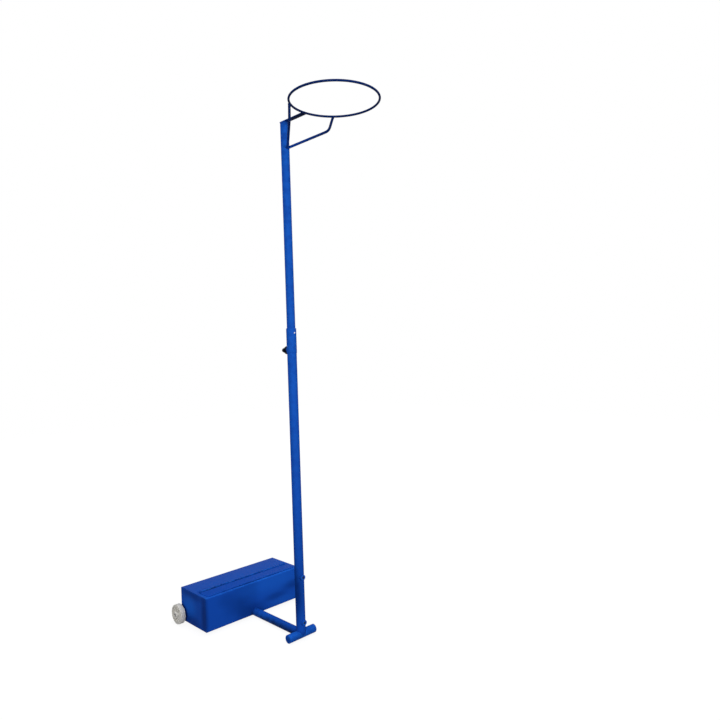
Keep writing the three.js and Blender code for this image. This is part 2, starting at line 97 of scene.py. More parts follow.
class Body(Enum):
    """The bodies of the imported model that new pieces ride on."""

    BASE = "base"
    MAST_HEAD = "mast_head"
    CLAMP_HANDLE = "clamp_handle"
    LID = "lid"
    LEFT_WHEEL = "left_wheel"
    RIGHT_WHEEL = "right_wheel"


class Slot(Enum):
    """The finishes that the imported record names."""

    BLUE_PAINT = "blue_paint"
    ZINC = "zinc"
    BLACK_STEEL = "black_steel"
    NYLON = "nylon"
    BLACK_PLASTIC = "black_plastic"
    BRASS = "brass"
    CAST_IRON = "cast_iron"


# Node trees


class Nodes:
    """A node tree while it is being put together."""

    def __init__(self, owner: bpy.types.ID) -> None:
        """Opens the tree of a material or a world.

        Args:
            owner: The material or the world.
        """
        owner.use_nodes = True
        self.owner = owner
        self.tree = owner.node_tree

    def node(self, kind: str, *values: object, **named: object) -> bpy.types.Node:
        """Adds a node.

        Args:
            kind: The node's type.
            *values: What feeds its first sockets, in their order.
            **named: Its properties in lower case, and what feeds other sockets, with their capitals.

        Returns:
            The new node.
        """
        made = self.tree.nodes.new(kind)
        for name, value in named.items():
            if name.islower():
                setattr(made, name, value)
        sockets = [(name, value) for name, value in named.items() if not name.islower()]
        for place, value in (*enumerate(values), *sockets):
            self.feed(made.inputs[place], value)
        return made

    def feed(self, socket: NodeSocket, value: object) -> None:
        """Sets a socket, or links it to another node's socket.

        Args:
            socket: The socket that is fed.
            value: A number, a colour, a vector or an output socket.
        """
        if isinstance(value, NodeSocket):
            self.tree.links.new(value, socket)
        else:
            socket.default_value = (*value, 1.0) if socket.type == "RGBA" else value

    def band(self, value: NodeSocket, low: float, high: float, to_low: float = 0.0, to_high: float = 1.0,
             kind: str = "LINEAR") -> NodeSocket:
        """Spreads a pattern's band from low to high over a new range."""
        return self.node("ShaderNodeMapRange", value, low, high, to_low, to_high,
                         interpolation_type=kind).outputs["Result"]

    def sum(self, operation: str, first: object, second: object) -> NodeSocket:
        """One step of arithmetic on patterns or numbers, by Blender's name for it."""
        return self.node("ShaderNodeMath", first, second, operation=operation).outputs[0]

    def mixed(self, share: NodeSocket, first: NodeSocket, second: NodeSocket) -> NodeSocket:
        """Two surfaces mixed by the second one's share."""
        return self.node("ShaderNodeMixShader", share, first, second).outputs[0]

    def seen(self) -> NodeSocket:
        """Whether a ray comes from the camera, a reflection or through glass.

        Returns:
            1 for such a ray, 0 for the rest.
        """
        path = self.node("ShaderNodeLightPath").outputs
        share = self.sum("MAXIMUM", path["Is Camera Ray"], path["Is Glossy Ray"])
        return self.sum("MAXIMUM", share, path["Is Transmission Ray"])


@dataclass(frozen=True)
class Noise:
    """A soft random pattern, and the band of it that is spread over a new range."""

    scale: float  # patches in a metre
    detail: float  # finer layers
    low: float = 0.0
    high: float = 1.0
    to_low: float = 0.0
    to_high: float = 1.0
    stretch: Point = (1, 1, 1)


class Recipe(Nodes):
    """A finish's nodes while they are being put together."""

    def __init__(self, name: str) -> None:
        """Starts a material with a plain surface shader.

        Args:
            name: The material's name.
        """
        super().__init__(bpy.data.materials.new(name))
        self.shader = self.tree.nodes["Principled BSDF"]
        self.place = self.node("ShaderNodeTexCoord").outputs["Object"]

    def pattern(self, noise: Noise) -> NodeSocket:
        """A random pattern in the post's own place, before its band is spread."""
        place = self.node("ShaderNodeMapping", self.place, Scale=noise.stretch).outputs["Vector"]
        return self.node("ShaderNodeTexNoise", place, Scale=noise.scale, Detail=noise.detail).outputs["Fac"]

    def spread(self, noise: Noise) -> NodeSocket:
        """A random pattern with its band spread over the new range."""
        return self.band(self.pattern(noise), noise.low, noise.high, noise.to_low, noise.to_high)

    def blend(self, share: NodeSocket, first: object, second: object) -> NodeSocket:
        """Mixes two colours.

        Args:
            share: How much of the second there is.
            first: A colour or a pattern.
            second: A colour or a pattern.

        Returns:
            The mixed colour.
        """
        made = self.node("ShaderNodeMix", share, data_type="RGBA")
        for socket, value in zip(made.inputs[6:8], (first, second)):
            self.feed(socket, value)
        return made.outputs[2]


# Finishes


@dataclass(frozen=True)
class Patches:
    """Random patches of another tone, on the whole of a piece or on its rounded edges alone."""

    tone: Colour
    noise: Noise
    on_edges: bool = False

    def share(self, recipe: Recipe) -> NodeSocket:
        """How strongly the patches show at a point.

        Args:
            recipe: The finish's nodes.

        Returns:
            The share of their tone.
        """
        spread = recipe.spread(self.noise)
        if not self.on_edges:
            return spread
        edges = recipe.node("ShaderNodeAttribute", attribute_name=EDGE).outputs["Fac"]
        return recipe.sum("MULTIPLY", edges, spread)


@dataclass(frozen=True)
class PaintedLightPool:
    """A soft-edged stretch of the post painted darker or lighter: painted shade or painted light."""

    centre: Point
    reach: Point
    strength: float
    # the default tone is a deep blue for painted shade
    tone: Colour = (0.0024, 0.021, 0.155)

    def share(self, recipe: Recipe) -> NodeSocket:
        """How strongly the stretch shows at a point.

        Args:
            recipe: The finish's nodes.

        Returns:
            The share of its tone, none outside the pool.
        """
        core = 0.15
        place = recipe.node("ShaderNodeVectorMath", recipe.place, self.centre, operation="SUBTRACT")
        place = recipe.node("ShaderNodeVectorMath", place.outputs["Vector"], self.reach, operation="DIVIDE")
        place = recipe.node("ShaderNodeVectorMath", place.outputs["Vector"], operation="LENGTH")
        depth = recipe.band(place.outputs["Value"], core, 1.0, 1.0, 0.0, "SMOOTHSTEP")
        return recipe.sum("MULTIPLY", depth, self.strength)


# the patches of other tones and the pools of painted shade and light laid over a finish's tone
Overlays = tuple[Patches | PaintedLightPool, ...]


@dataclass(frozen=True)
class Finish:
    """A tone with patches of other tones and pools of painted shade and light on it, an uneven gloss and a
    fine grain.
    """

    name: str
    tone: Colour
    overlays: Overlays
    gloss: Noise
    grain: Noise | None = None
    relief: tuple[float, float] = (0.0, 0.0)  # how strongly the grain shows, and its height in metres
    metallic: float = 0.0
    specular: float = 0.5

    def roughness(self, recipe: Recipe) -> NodeSocket:
        """How rough each point is."""
        return recipe.spread(self.gloss)

    def material(self) -> Material:
        """Makes the finish.

        Returns:
            The material.
        """
        recipe = Recipe(self.name)
        tone = self.tone
        # patches of other tones and pools of painted shade and light are laid on in turn
        for coat in self.overlays:
            tone = recipe.blend(coat.share(recipe), tone, coat.tone)
        inputs = {"Base Color": tone, "Roughness": self.roughness(recipe), "Metallic": self.metallic,
                  "Specular IOR Level": self.specular}
        if self.grain:
            strength, height = self.relief
            inputs["Normal"] = recipe.node("ShaderNodeBump", strength, height,
                                           Height=recipe.pattern(self.grain)).outputs["Normal"]
        for name, value in inputs.items():
            recipe.feed(recipe.shader.inputs[name], value)
        return recipe.owner


# painted shade: near black in each wheel hub's pocket, on every finish that lies there
HUB_POCKET_SHADE = tuple(PaintedLightPool((end, AXLE_Y, AXLE_HEIGHT), (0.0102, 0.0126, 0.0126), 3.2, (0.012, 0.012, 0.014))
                 for end in (-0.3245, 0.3245))
# the tones of painted light and of painted shade
PAINTED_LIGHT_TONE: Colour = (0.0100, 0.105, 0.560)
PAINTED_SHADE_TONE: Colour = (0.0040, 0.012, 0.062)
# pools of painted shade and painted light on the blue paint
LIGHT_AND_SHADE_POOLS = (
    # painted shade and painted light on the front of the weight box
    PaintedLightPool((-0.165, 0.318, 0.135), (0.085, 0.09, 0.055), 0.30),
    PaintedLightPool((-0.110, 0.318, 0.085), (0.110, 0.09, 0.065), 0.34),
    PaintedLightPool((-0.020, 0.318, 0.040), (0.120, 0.09, 0.048), 0.46),
    PaintedLightPool((0.130, 0.318, 0.066), (0.110, 0.09, 0.030), 0.40),
    PaintedLightPool((0.250, 0.318, 0.098), (0.110, 0.09, 0.036), 0.50),
    PaintedLightPool((0.200, 0.318, 0.030), (0.130, 0.09, 0.034), 0.35, PAINTED_LIGHT_TONE),
    PaintedLightPool((0.110, 0.318, 0.150), (0.260, 0.03, 0.080), 0.60, PAINTED_LIGHT_TONE),
    # painted shade and painted light on its left end
    PaintedLightPool((-0.288, 0.338, 0.080), (0.02, 0.042, 0.190), 0.75),
    PaintedLightPool((-0.288, 0.450, 0.160), (0.02, 0.170, 0.030), 0.50),
    PaintedLightPool((-0.288, 0.460, 0.022), (0.02, 0.140, 0.050), 0.55),
    PaintedLightPool((-0.288, 0.480, 0.100), (0.02, 0.100, 0.070), 0.90, PAINTED_LIGHT_TONE),
    # painted shade on the pole's foot, the leg and the cross foot
    PaintedLightPool((-0.018, POLE_Y + 0.016, 0.240), (0.026, 0.026, 0.480), 0.70),
    PaintedLightPool((-0.017, POLE_Y - 0.004, 0.225), (0.036, 0.036, 0.180), 1.00),
    PaintedLightPool((-0.020, 0.130, 0.010), (0.028, 0.340, 0.040), 1.10, PAINTED_SHADE_TONE),
    PaintedLightPool((0.0, POLE_Y - 0.004, 0.000), (0.170, 0.060, 0.052), 0.85),
    # painted shade on the nut boss behind the knob, in the hinge's gap and under the lid's front edge
    PaintedLightPool((0.0, -0.006, 1.369), (0.050, 0.022, 0.040), 3.00, PAINTED_SHADE_TONE),
    PaintedLightPool((0.0, 0.4030, 0.179), (0.420, 0.0080, 0.030), 0.90),
    PaintedLightPool((-0.205, 0.4030, 0.179), (0.110, 0.0090, 0.030), 0.95, PAINTED_SHADE_TONE),
    PaintedLightPool((0.0, 0.3305, 0.178), (0.420, 0.0050, 0.006), 0.80),
    # painted shade on the ring, the braces and the arm
    PaintedLightPool((0.0, -0.393, 2.38), (0.40, 0.40, 0.50), 1.35, PAINTED_SHADE_TONE),
    PaintedLightPool((0.0, -0.150, 2.43), (0.05, 0.130, 0.03), 1.00, PAINTED_SHADE_TONE),
)
SCUFFS = Noise(26.0, 6.0, 0.66, 0.76, 0.0, 0.06, (3.0, 3.0, 0.5))


@dataclass(frozen=True)
class PowderCoat(Finish):
    """Satin blue powder coat: a fine orange peel, a tone that differs at random, pools of painted shade and
    painted light, lighter edges that are partly paint wear and partly a painted highlight, and chalky scuffs.
    """

    name: str = "blue_powder_coat"
    tone: Colour = (0.0060, 0.058, 0.375)
    overlays: Overlays = (
        Patches((0.0072, 0.070, 0.435), Noise(3.2, 0.0, 0.30, 0.70)), *LIGHT_AND_SHADE_POOLS, *HUB_POCKET_SHADE,
        # lighter edges: partly paint wear, partly a painted highlight along the rims
        Patches((0.012, 0.125, 0.600), Noise(38.0, 3.0, 0.36, 0.60, 0.20, 0.60), on_edges=True),
        Patches((0.030, 0.110, 0.420), SCUFFS))
    gloss: Noise = Noise(90.0, 4.0, 0.3, 0.7, 0.29, 0.33)
    grain: Noise = Noise(520.0, 2.0)
    relief: tuple[float, float] = (0.05, 0.0003)
    specular: float = 0.005
    scuff_roughness: float = 1.5

    def roughness(self, recipe: Recipe) -> NodeSocket:
        """How rough each point is, with the scuffs rougher."""
        scuffs = recipe.sum("MULTIPLY", recipe.spread(SCUFFS), self.scuff_roughness)
        return recipe.sum("ADD", recipe.spread(self.gloss), scuffs)


@dataclass(frozen=True)
class ZincPlate(Finish):
    """Bright zinc plate on steel, finely turned and a little dulled, with painted shade in the hub's pocket.
    """

    name: str = "bright_zinc"
    tone: Colour = (0.62, 0.63, 0.64)
    overlays: Overlays = (Patches((0.34, 0.35, 0.36), Noise(160.0, 5.0, 0.35, 0.70)), *HUB_POCKET_SHADE)
    gloss: Noise = Noise(420.0, 3.0, 0.3, 0.7, 0.28, 0.46)
    grain: Noise = Noise(900.0, 2.0, stretch=(1.0, 6.0, 6.0))
    relief: tuple[float, float] = (0.12, 0.0002)
    metallic: float = 1.0


@dataclass(frozen=True)
class BlackSteel(Finish):
    """Black oxide on the socket screws and the axle clips, dry and a little rubbed."""

    name: str = "black_oxide_steel"
    tone: Colour = (0.010, 0.016, 0.034)
    overlays: Overlays = (Patches((0.045, 0.060, 0.105), Noise(240.0, 5.0, 0.50, 0.74, 0.0, 0.7)),)
    gloss: Noise = Noise(520.0, 3.0, 0.3, 0.7, 0.40, 0.58)
    grain: Noise = Noise(1100.0, 2.0)
    relief: tuple[float, float] = (0.10, 0.0002)
    metallic: float = 0.6


@dataclass(frozen=True)
class MouldedNylon(Finish):
    """Light grey moulded nylon of the wheels, dusty where it rolls, with painted shade in the hub's pocket.
    """

    name: str = "grey_nylon"
    tone: Colour = (0.66, 0.65, 0.63)
    overlays: Overlays = (
        Patches((0.55, 0.53, 0.46), Noise(14.0, 2.0, 0.38, 0.68, 0.0, 0.6)),
        Patches((0.30, 0.29, 0.27), Noise(120.0, 6.0, 0.52, 0.72, 0.0, 0.22)), *HUB_POCKET_SHADE)
    gloss: Noise = Noise(70.0, 3.0, 0.3, 0.7, 0.42, 0.60)
    grain: Noise = Noise(800.0, 3.0)
    relief: tuple[float, float] = (0.15, 0.0003)
    specular: float = 0.4


@dataclass(frozen=True)
class MouldedPlastic(Finish):
    """Black moulded plastic with a fine spark-eroded grain, rubbed on its edges."""

    name: str = "black_plastic"
    tone: Colour = (0.004, 0.005, 0.009)
    overlays: Overlays = (Patches((0.016, 0.020, 0.034), Noise(150.0, 3.0, 0.4, 0.7), on_edges=True),)
    gloss: Noise = Noise(260.0, 4.0, 0.3, 0.7, 0.34, 0.50)
    grain: Noise = Noise(1400.0, 2.0)
    relief: tuple[float, float] = (0.25, 0.0002)
    specular: float = 0.12


@dataclass(frozen=True)
class TurnedBrass(Finish):
    """Plain turned brass of the clamp pad."""

    name: str = "turned_brass"
    tone: Colour = (0.60, 0.42, 0.13)
    overlays: Overlays = (Patches((0.30, 0.20, 0.07), Noise(200.0, 4.0, 0.4, 0.7)),)
    gloss: Noise = Noise(500.0, 3.0, 0.3, 0.7, 0.25, 0.45)
    metallic: float = 1.0


@dataclass(frozen=True)
class CastIron(Finish):
    """Rough cast iron of the ballast weights, with a bloom of rust."""

    name: str = "cast_iron"
    tone: Colour = (0.050, 0.051, 0.055)
    overlays: Overlays = (Patches((0.085, 0.038, 0.018), Noise(34.0, 6.0, 0.52, 0.70, 0.0, 0.8)),)
    gloss: Noise = Noise(220.0, 4.0, 0.3, 0.7, 0.62, 0.85)
    grain: Noise = Noise(620.0, 5.0)
    relief: tuple[float, float] = (0.5, 0.0006)
    metallic: float = 0.35


# Shapes


def section_places(path: Sequence[Vector], closed: bool) -> list[Matrix]:
    """Places square to a path, each turned as little as can be from the last.

    Args:
        path: The points of the path.
        closed: Whether the path closes on itself.

    Returns:
        One place for each point, with Z along the path.
    """
    up, turn, places = Vector((0, 0, 1)), Matrix.Identity(3).to_quaternion(), []
    for index, point in enumerate(path):
        before = path[index - 1] if closed or index > 0 else point
        after = path[(index + 1) % len(path)] if closed or index < len(path) - 1 else point
        turn = (turn @ up).rotation_difference((after - before).normalized()) @ turn
        places.append(Matrix.Translation(point) @ turn.to_matrix().to_4x4())
    return places


def evenly_spaced(path: Sequence[Vector], step: float, closed: bool) -> list[Vector]:
    """Points at equal distances along a path.

    Args:
        path: The path's points.
        step: About how far apart the new points are.
        closed: Whether the path closes on itself.

    Returns:
        The new points.
    """
    points = list(path) + ([path[0]] if closed else [])
    reach = [0.0]
    for first, second in zip(points, points[1:]):
        reach.append(reach[-1] + (second - first).length)
    count = max(4, round(reach[-1] / step))
    found = []
    leg = 0
    for index in range(count if closed else count + 1):
        wanted = reach[-1] * index / count
        while leg < len(reach) - 2 and reach[leg + 1] < wanted:
            leg += 1
        share = (wanted - reach[leg]) / max(reach[leg + 1] - reach[leg], 1e-9)
        found.append(points[leg].lerp(points[leg + 1], min(1.0, share)))
    return found


def arc(count: int, start: float, end: float, place: Callable[[float], Vector]) -> list[Vector]:
    """Points on a curve, in equal steps of the number or angle that gives each."""
    return [place(start + (end - start) * index / count) for index in range(count + 1)]


def about_pole(radius: float, angle: float, height: float) -> Vector:
    """A point at a distance from the pole's axis."""
    return Vector((radius * math.cos(angle), POLE_Y + radius * math.sin(angle), height))


def on_tube(point: Vector, radius: float, front: bool, sink: float) -> Vector:
    """Moves a point along Y onto a tube round the pole's axis, and a little into it."""
    depth = math.sqrt(max(0.0, radius ** 2 - point.x ** 2)) - sink
    return Vector((point.x, POLE_Y - depth if front else POLE_Y + depth, point.z))


def corners(edges: Iterable[BMEdge]) -> list[BMVert]:
    """The points that edges join."""
    return list({vert for edge in edges for vert in edge.verts})


def runs_along(edge: BMEdge, axis: int) -> bool:
    """Whether an edge runs along an axis, which is given by its number."""
    return abs(edge.verts[0].co[axis] - edge.verts[1].co[axis]) > RUN


class Shape:
    """A piece's mesh while operators form it."""

    def __init__(self) -> None:
        """Starts with nothing."""
        self.bm = bmesh.new()
        self.edge = self.bm.verts.layers.float.new(EDGE)

    @classmethod
    def turned(cls, axis: Axis, centre: Point, profile: Sequence[tuple], steps: int = 64,
               ring: bool = False) -> "Shape":
        """Spins an outline round an axis.

        Args:
            axis: The direction of the axis.
            centre: A point on it.
            profile: Corners as (radius, place along the axis), with a third number for a rounded one.
            steps: How many steps go round.
            ring: Whether the outline closes on itself, as for a tube.

        Returns:
            The closed shape.
        """
        shape = cls()
        points = [shape.bm.verts.new((corner[0], 0, corner[1])) for corner in profile]
        for pair in zip(points, points[1:] + points[:1] if ring else points[1:]):
            shape.bm.edges.new(pair)
        for rounding in sorted({corner[2] for corner in profile if len(corner) > 2}):
            chosen = [point for point, corner in zip(points, profile) if corner[2:] == (rounding,)]
            for vert in shape.bevel(chosen, rounding, 3, "VERTICES")["verts"]:
                vert[shape.edge] = 1.0
        shape.spin(steps)
        bmesh.ops.remove_doubles(shape.bm, verts=shape.bm.verts[:], dist=MERGE)
        return shape.set_by(Matrix.Translation(centre) @ axis.value).outward()

    @classmethod
    def block(cls, low: Point, high: Point) -> "Shape":
        """A box between two corners.

        Args:
            low: Its lowest corner.
            high: Its highest corner.

        Returns:
            The box.
        """
        shape = cls()
        size, middle = Vector(high) - Vector(low), (Vector(low) + Vector(high)) / 2
        bmesh.ops.create_cube(shape.bm, size=1.0, matrix=Matrix.LocRotScale(middle, None, size))
        return shape

    @classmethod
    def drawn(cls, path: Sequence[Vector], radii: Sequence[float], sides: int = 16,
              closed: bool = False) -> "Shape":
        """Draws a round section along a path.

        Args:
            path: The points of its middle line.
            radii: The section's radius at each point.
            sides: How many sides the section has.
            closed: Whether the path closes on itself.

        Returns:
            The closed shape.
        """
        shape = cls()
        places = [place @ Matrix.Scale(radius, 4)
                  for place, radius in zip(section_places(path, closed), radii)]
        first = last = shape.circle(1.0, sides, places[0])
        for before, now in zip(places, places[1:]):
            last = shape.grow(last)
            bmesh.ops.transform(shape.bm, matrix=now @ before.inverted(), verts=corners(last))
        if closed:
            bmesh.ops.bridge_loops(shape.bm, edges=first + last)
        else:
            bmesh.ops.holes_fill(shape.bm, edges=first + last, sides=0)
        return shape.outward()

    @classmethod
    def bead(cls, path: Sequence[Vector], radius: float, closed: bool = False,
             pitch: float = 0.0036) -> "Shape":
        """A weld bead: a low rope with the ripples of its passes, thin at its ends.

        Args:
            path: The points of its middle line.
            radius: Its mean radius.
            closed: Whether it runs all the way round.
            pitch: The length of one ripple.

        Returns:
            The bead.
        """
        ripple, sway, sway_step = 0.10, 0.08, 0.61
        tip, tip_growth = 0.35, 0.25
        points = evenly_spaced(path, pitch / 4, closed)
        radii = []
        for index in range(len(points)):
            wave = ripple * math.cos(index * math.pi / 2) + sway * math.sin(index * sway_step)
            from_end = min(index, len(points) - 1 - index)
            taper = 1.0 if closed else min(1.0, tip + tip_growth * from_end)
            radii.append(radius * taper * (1 + wave))
        return cls.drawn(points, radii, 8, closed)

    @classmethod
    def seam(cls, radius: float, steps: int, place: Callable[[float], Vector]) -> "Shape":
        """A weld bead that closes on itself, along points given by their angle."""
        return cls.bead(arc(steps, 0, FULL_TURN, place)[:-1], radius, closed=True)

    @classmethod
    def saddle(cls, radius: float, steps: int, height: float, half: tuple[float, float], tube: float,
               front: bool, sink: float) -> "Shape":
        """A closed weld bead that lies on a tube round the pole's axis, by its half width and height."""
        return cls.seam(radius, steps, lambda angle: on_tube(
            Vector((half[0] * math.cos(angle), 0, height + half[1] * math.sin(angle))), tube, front, sink))

    def circle(self, radius: float, sides: int, place: Matrix) -> list[BMEdge]:
        """Adds a circle and gives its edges."""
        made = bmesh.ops.create_circle(self.bm, cap_ends=False, radius=radius, segments=sides, matrix=place)
        return list({edge for vert in made["verts"] for edge in vert.link_edges})

    def grow(self, loop: list[BMEdge]) -> list[BMEdge]:
        """Draws a wall out of a loop of edges and gives the new loop, which still lies on the old one."""
        grown = bmesh.ops.extrude_edge_only(self.bm, edges=loop)["geom"]
        return [item for item in grown if isinstance(item, BMEdge)]

    def spin(self, steps: int) -> None:
        """Spins the outline once round Z."""
        bmesh.ops.spin(self.bm, geom=self.bm.verts[:] + self.bm.edges[:], cent=(0, 0, 0), axis=(0, 0, 1),
                       dvec=(0, 0, 0), angle=FULL_TURN, steps=steps, use_merge=True)

    def bevel(self, geom: list[BMVert] | list[BMEdge], width: float, segments: int, affect: str) -> dict:
        """Rounds points or edges."""
        return bmesh.ops.bevel(self.bm, geom=geom, offset=width, offset_type="OFFSET", segments=segments,
                               profile=0.5, affect=affect, material=-1, clamp_overlap=True)

    def outward(self) -> "Shape":
        """Turns every face outwards."""
        bmesh.ops.recalc_face_normals(self.bm, faces=self.bm.faces[:])
        return self

    def round_edges(self, width: float, chosen: Callable[[BMEdge], bool] = lambda edge: True,
                    segments: int = 3, wear_and_highlight: bool = True) -> "Shape":
        """Rounds edges that have a face on both sides.

        Args:
            width: How far each side is taken back.
            chosen: Which edges.
            segments: How many steps the rounding has.
            wear_and_highlight: Whether the paint wears there; on the blue paint that lighter edge is partly a
                painted highlight.

        Returns:
            The shape itself.
        """
        edges = [edge for edge in self.bm.edges if len(edge.link_faces) == 2 and chosen(edge)]
        made = self.bevel(edges, width, segments, "EDGES")
        if wear_and_highlight:
            rounding = set(made["faces"])
            for vert in made["verts"]:
                if rounding.issuperset(vert.link_faces):
                    vert[self.edge] = 1.0
        return self

    def drop(self, chosen: Callable[[BMFace], bool]) -> "Shape":
        """Takes the chosen faces away."""
        bmesh.ops.delete(self.bm, geom=[face for face in self.bm.faces if chosen(face)], context="FACES")
        return self

    def slice(self, place: Point, normal: Point) -> "Shape":
        """Cuts the faces along a plane, by a point on it and its direction, and leaves both sides."""
        bmesh.ops.bisect_plane(self.bm, geom=self.bm.verts[:] + self.bm.edges[:] + self.bm.faces[:],
                               dist=CUT, plane_co=place, plane_no=normal)
        return self

    def thicken(self, wall: float) -> "Shape":
        """Gives an open sheet its thickness, inwards."""
        bmesh.ops.solidify(self.bm, geom=self.bm.faces[:], thickness=wall)
        return self

    def move(self, change: Callable[[Vector], Vector]) -> None:
        """Moves each point by a rule."""
        for vert in self.bm.verts:
            vert.co = change(vert.co)

    def set_by(self, matrix: Matrix) -> "Shape":
        """Moves or turns the whole shape."""
        self.bm.transform(matrix)
        return self

    def join(self, *others: "Shape") -> "Shape":
        """Adds other shapes to this one.

        Args:
            *others: The shapes, which are used up.

        Returns:
            The shape itself.
        """
        for other in others:
            scratch = bpy.data.meshes.new("scratch")
            other.bm.to_mesh(scratch)
            other.bm.free()
            self.bm.from_mesh(scratch)
            bpy.data.meshes.remove(scratch)
        self.edge = self.bm.verts.layers.float[EDGE]
        return self


def placed(name: str, data: bpy.types.ID) -> bpy.types.Object:
    """Puts a mesh, a lamp or a camera into the scene.

    Args:
        name: The object's name.
        data: What it shows.

    Returns:
        The object.
    """
    obj = bpy.data.objects.new(name, data)
    bpy.context.scene.collection.objects.link(obj)
    return obj


class Workshop:
    """Turns shapes into finished pieces and reports them."""

    def __init__(self) -> None:
        """Makes the seven finishes."""
        finishes = {
            Slot.BLUE_PAINT: PowderCoat(), Slot.ZINC: ZincPlate(), Slot.BLACK_STEEL: BlackSteel(),
            Slot.NYLON: MouldedNylon(), Slot.BLACK_PLASTIC: MouldedPlastic(), Slot.BRASS: TurnedBrass(),
            Slot.CAST_IRON: CastIron(),
        }
        self.paints = {slot: finish.material() for slot, finish in finishes.items()}
        self.count = 0

    def dress(self, name: str, slot: Slot) -> None:
        """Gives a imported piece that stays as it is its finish.

        Args:
            name: The piece's name.
            slot: Its finish.
        """
        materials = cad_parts[name].data.materials
        materials.clear()
        materials.append(self.paints[slot])

    def fit(self, name: str, shape: Shape, *stands_for: str, slot: Slot = Slot.BLUE_PAINT,
            body: Body = Body.BASE) -> None:
        """Makes a piece, paints it and lets it ride on its body.

        Args:
            name: The piece's name.
            shape: Its shape, which is used up.
            *stands_for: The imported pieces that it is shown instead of.
            slot: Its finish.
            body: The body that it moves with.
        """
        mesh = bpy.data.meshes.new(name)
        shape.bm.to_mesh(mesh)
        shape.bm.free()
        mesh.polygons.foreach_set("use_smooth", [True] * len(mesh.polygons))
        mesh.set_sharp_from_angle(angle=SHARP_ANGLE)
        mesh.materials.append(self.paints[slot])
        obj = placed(name, mesh)
        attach(obj, body.value)
        if stands_for:
            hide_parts(*stands_for)
        self.count += 1
        log.info("%s: %d faces on %s", name, len(mesh.polygons), body.value)


# Sub-assemblies of the post


@dataclass
class FootAndLeg:
    """The T of tubes on the floor: a short cross foot in front and the leg back to the weight box."""

    shop: Workshop
    foot_radius: float = 0.020
    foot_wall: float = 0.0025
    foot_half: float = 0.080
    cap_thickness: float = 0.003
    cap_gap: float = 0.0003
    cap_dish: float = 0.0006
    cap_seat: float = 0.0003
    cap_round: float = 0.0011
    crest_inset: float = 0.0030
    dish_inset: float = 0.0042
    seam_depth: float = 0.0016
    seam_set: float = 0.0001
    seam_start: float = 0.0010
    seam_half: float = 0.0005
    seam_round: float = 0.0004
    leg_radius: float = 0.020
    leg_height: float = 0.0215
    leg_start: float = -0.030
    leg_end: float = 0.3177
    box_foot: float = 0.010
    leg_round: float = 0.0010
    weld_set: float = 0.0008
    weld_lift: float = 0.001
    box_weld: float = 0.0024

    def foot(self) -> None:
        """Makes the cross foot's tube."""
        outer, inner = self.foot_radius, self.foot_radius - self.foot_wall
        end = self.foot_half - self.cap_thickness - self.cap_gap
        self.shop.fit("foot_bar", Shape.turned(Axis.X, (0, POLE_Y, outer), [
            (outer, -end, RIM), (outer, end, RIM), (inner, end), (inner, -end)], ring=True), "cross_foot")

    def caps(self) -> None:
        """Makes the discs that close the foot's ends, with their ground-down welds."""
        radius, outer = self.foot_radius, self.foot_half
        inner, dish = outer - self.cap_thickness, outer - self.cap_dish
        root, skin, bulge = radius - self.seam_depth, radius - self.seam_set, self.seam_round
        for side in Side:
            cap = Shape.turned(Axis.X, (0, 0, 0), [
                (0, inner), (radius, inner, self.cap_seat), (radius, dish, self.cap_round),
                (radius - self.crest_inset, outer, RIM), (radius - self.dish_inset, dish, RIM), (0, dish)])
            cap.join(Shape.turned(Axis.X, (0, 0, 0), [
                (root, inner - self.seam_start), (skin, inner - self.seam_half, bulge),
                (skin, inner + bulge, bulge), (root, inner + 2 * bulge)], ring=True))
            cap.set_by(Matrix.Translation((0, POLE_Y, radius)) @ side.turn())
            self.shop.fit(f"foot_end_{side.word}", cap, f"foot_cap_{side.word}")

    def leg(self) -> None:
        """Makes the leg, closed where it passes under the front of the box, and its weld there."""
        radius, height, end = self.leg_radius, self.leg_height, self.leg_end
        self.shop.fit("leg_bar", Shape.turned(Axis.Y, (0, 0, height), [
            (0, self.leg_start), (radius, self.leg_start), (radius, end, self.leg_round), (0, end)]),
            "leg_tube")
        low = math.asin((self.box_foot + self.weld_lift - height) / radius)
        reach = radius + self.weld_set
        path = arc(60, low, math.pi - low, lambda angle: Vector(
            (reach * math.cos(angle), end - self.weld_set, height + reach * math.sin(angle))))
        self.shop.fit("leg_weld", Shape.bead(path, self.box_weld))

    def build(self) -> None:
        """Makes the foot and the leg."""
        self.foot()
        self.caps()
        self.leg()
        self.shop.dress("pole_stub", Slot.BLUE_PAINT)


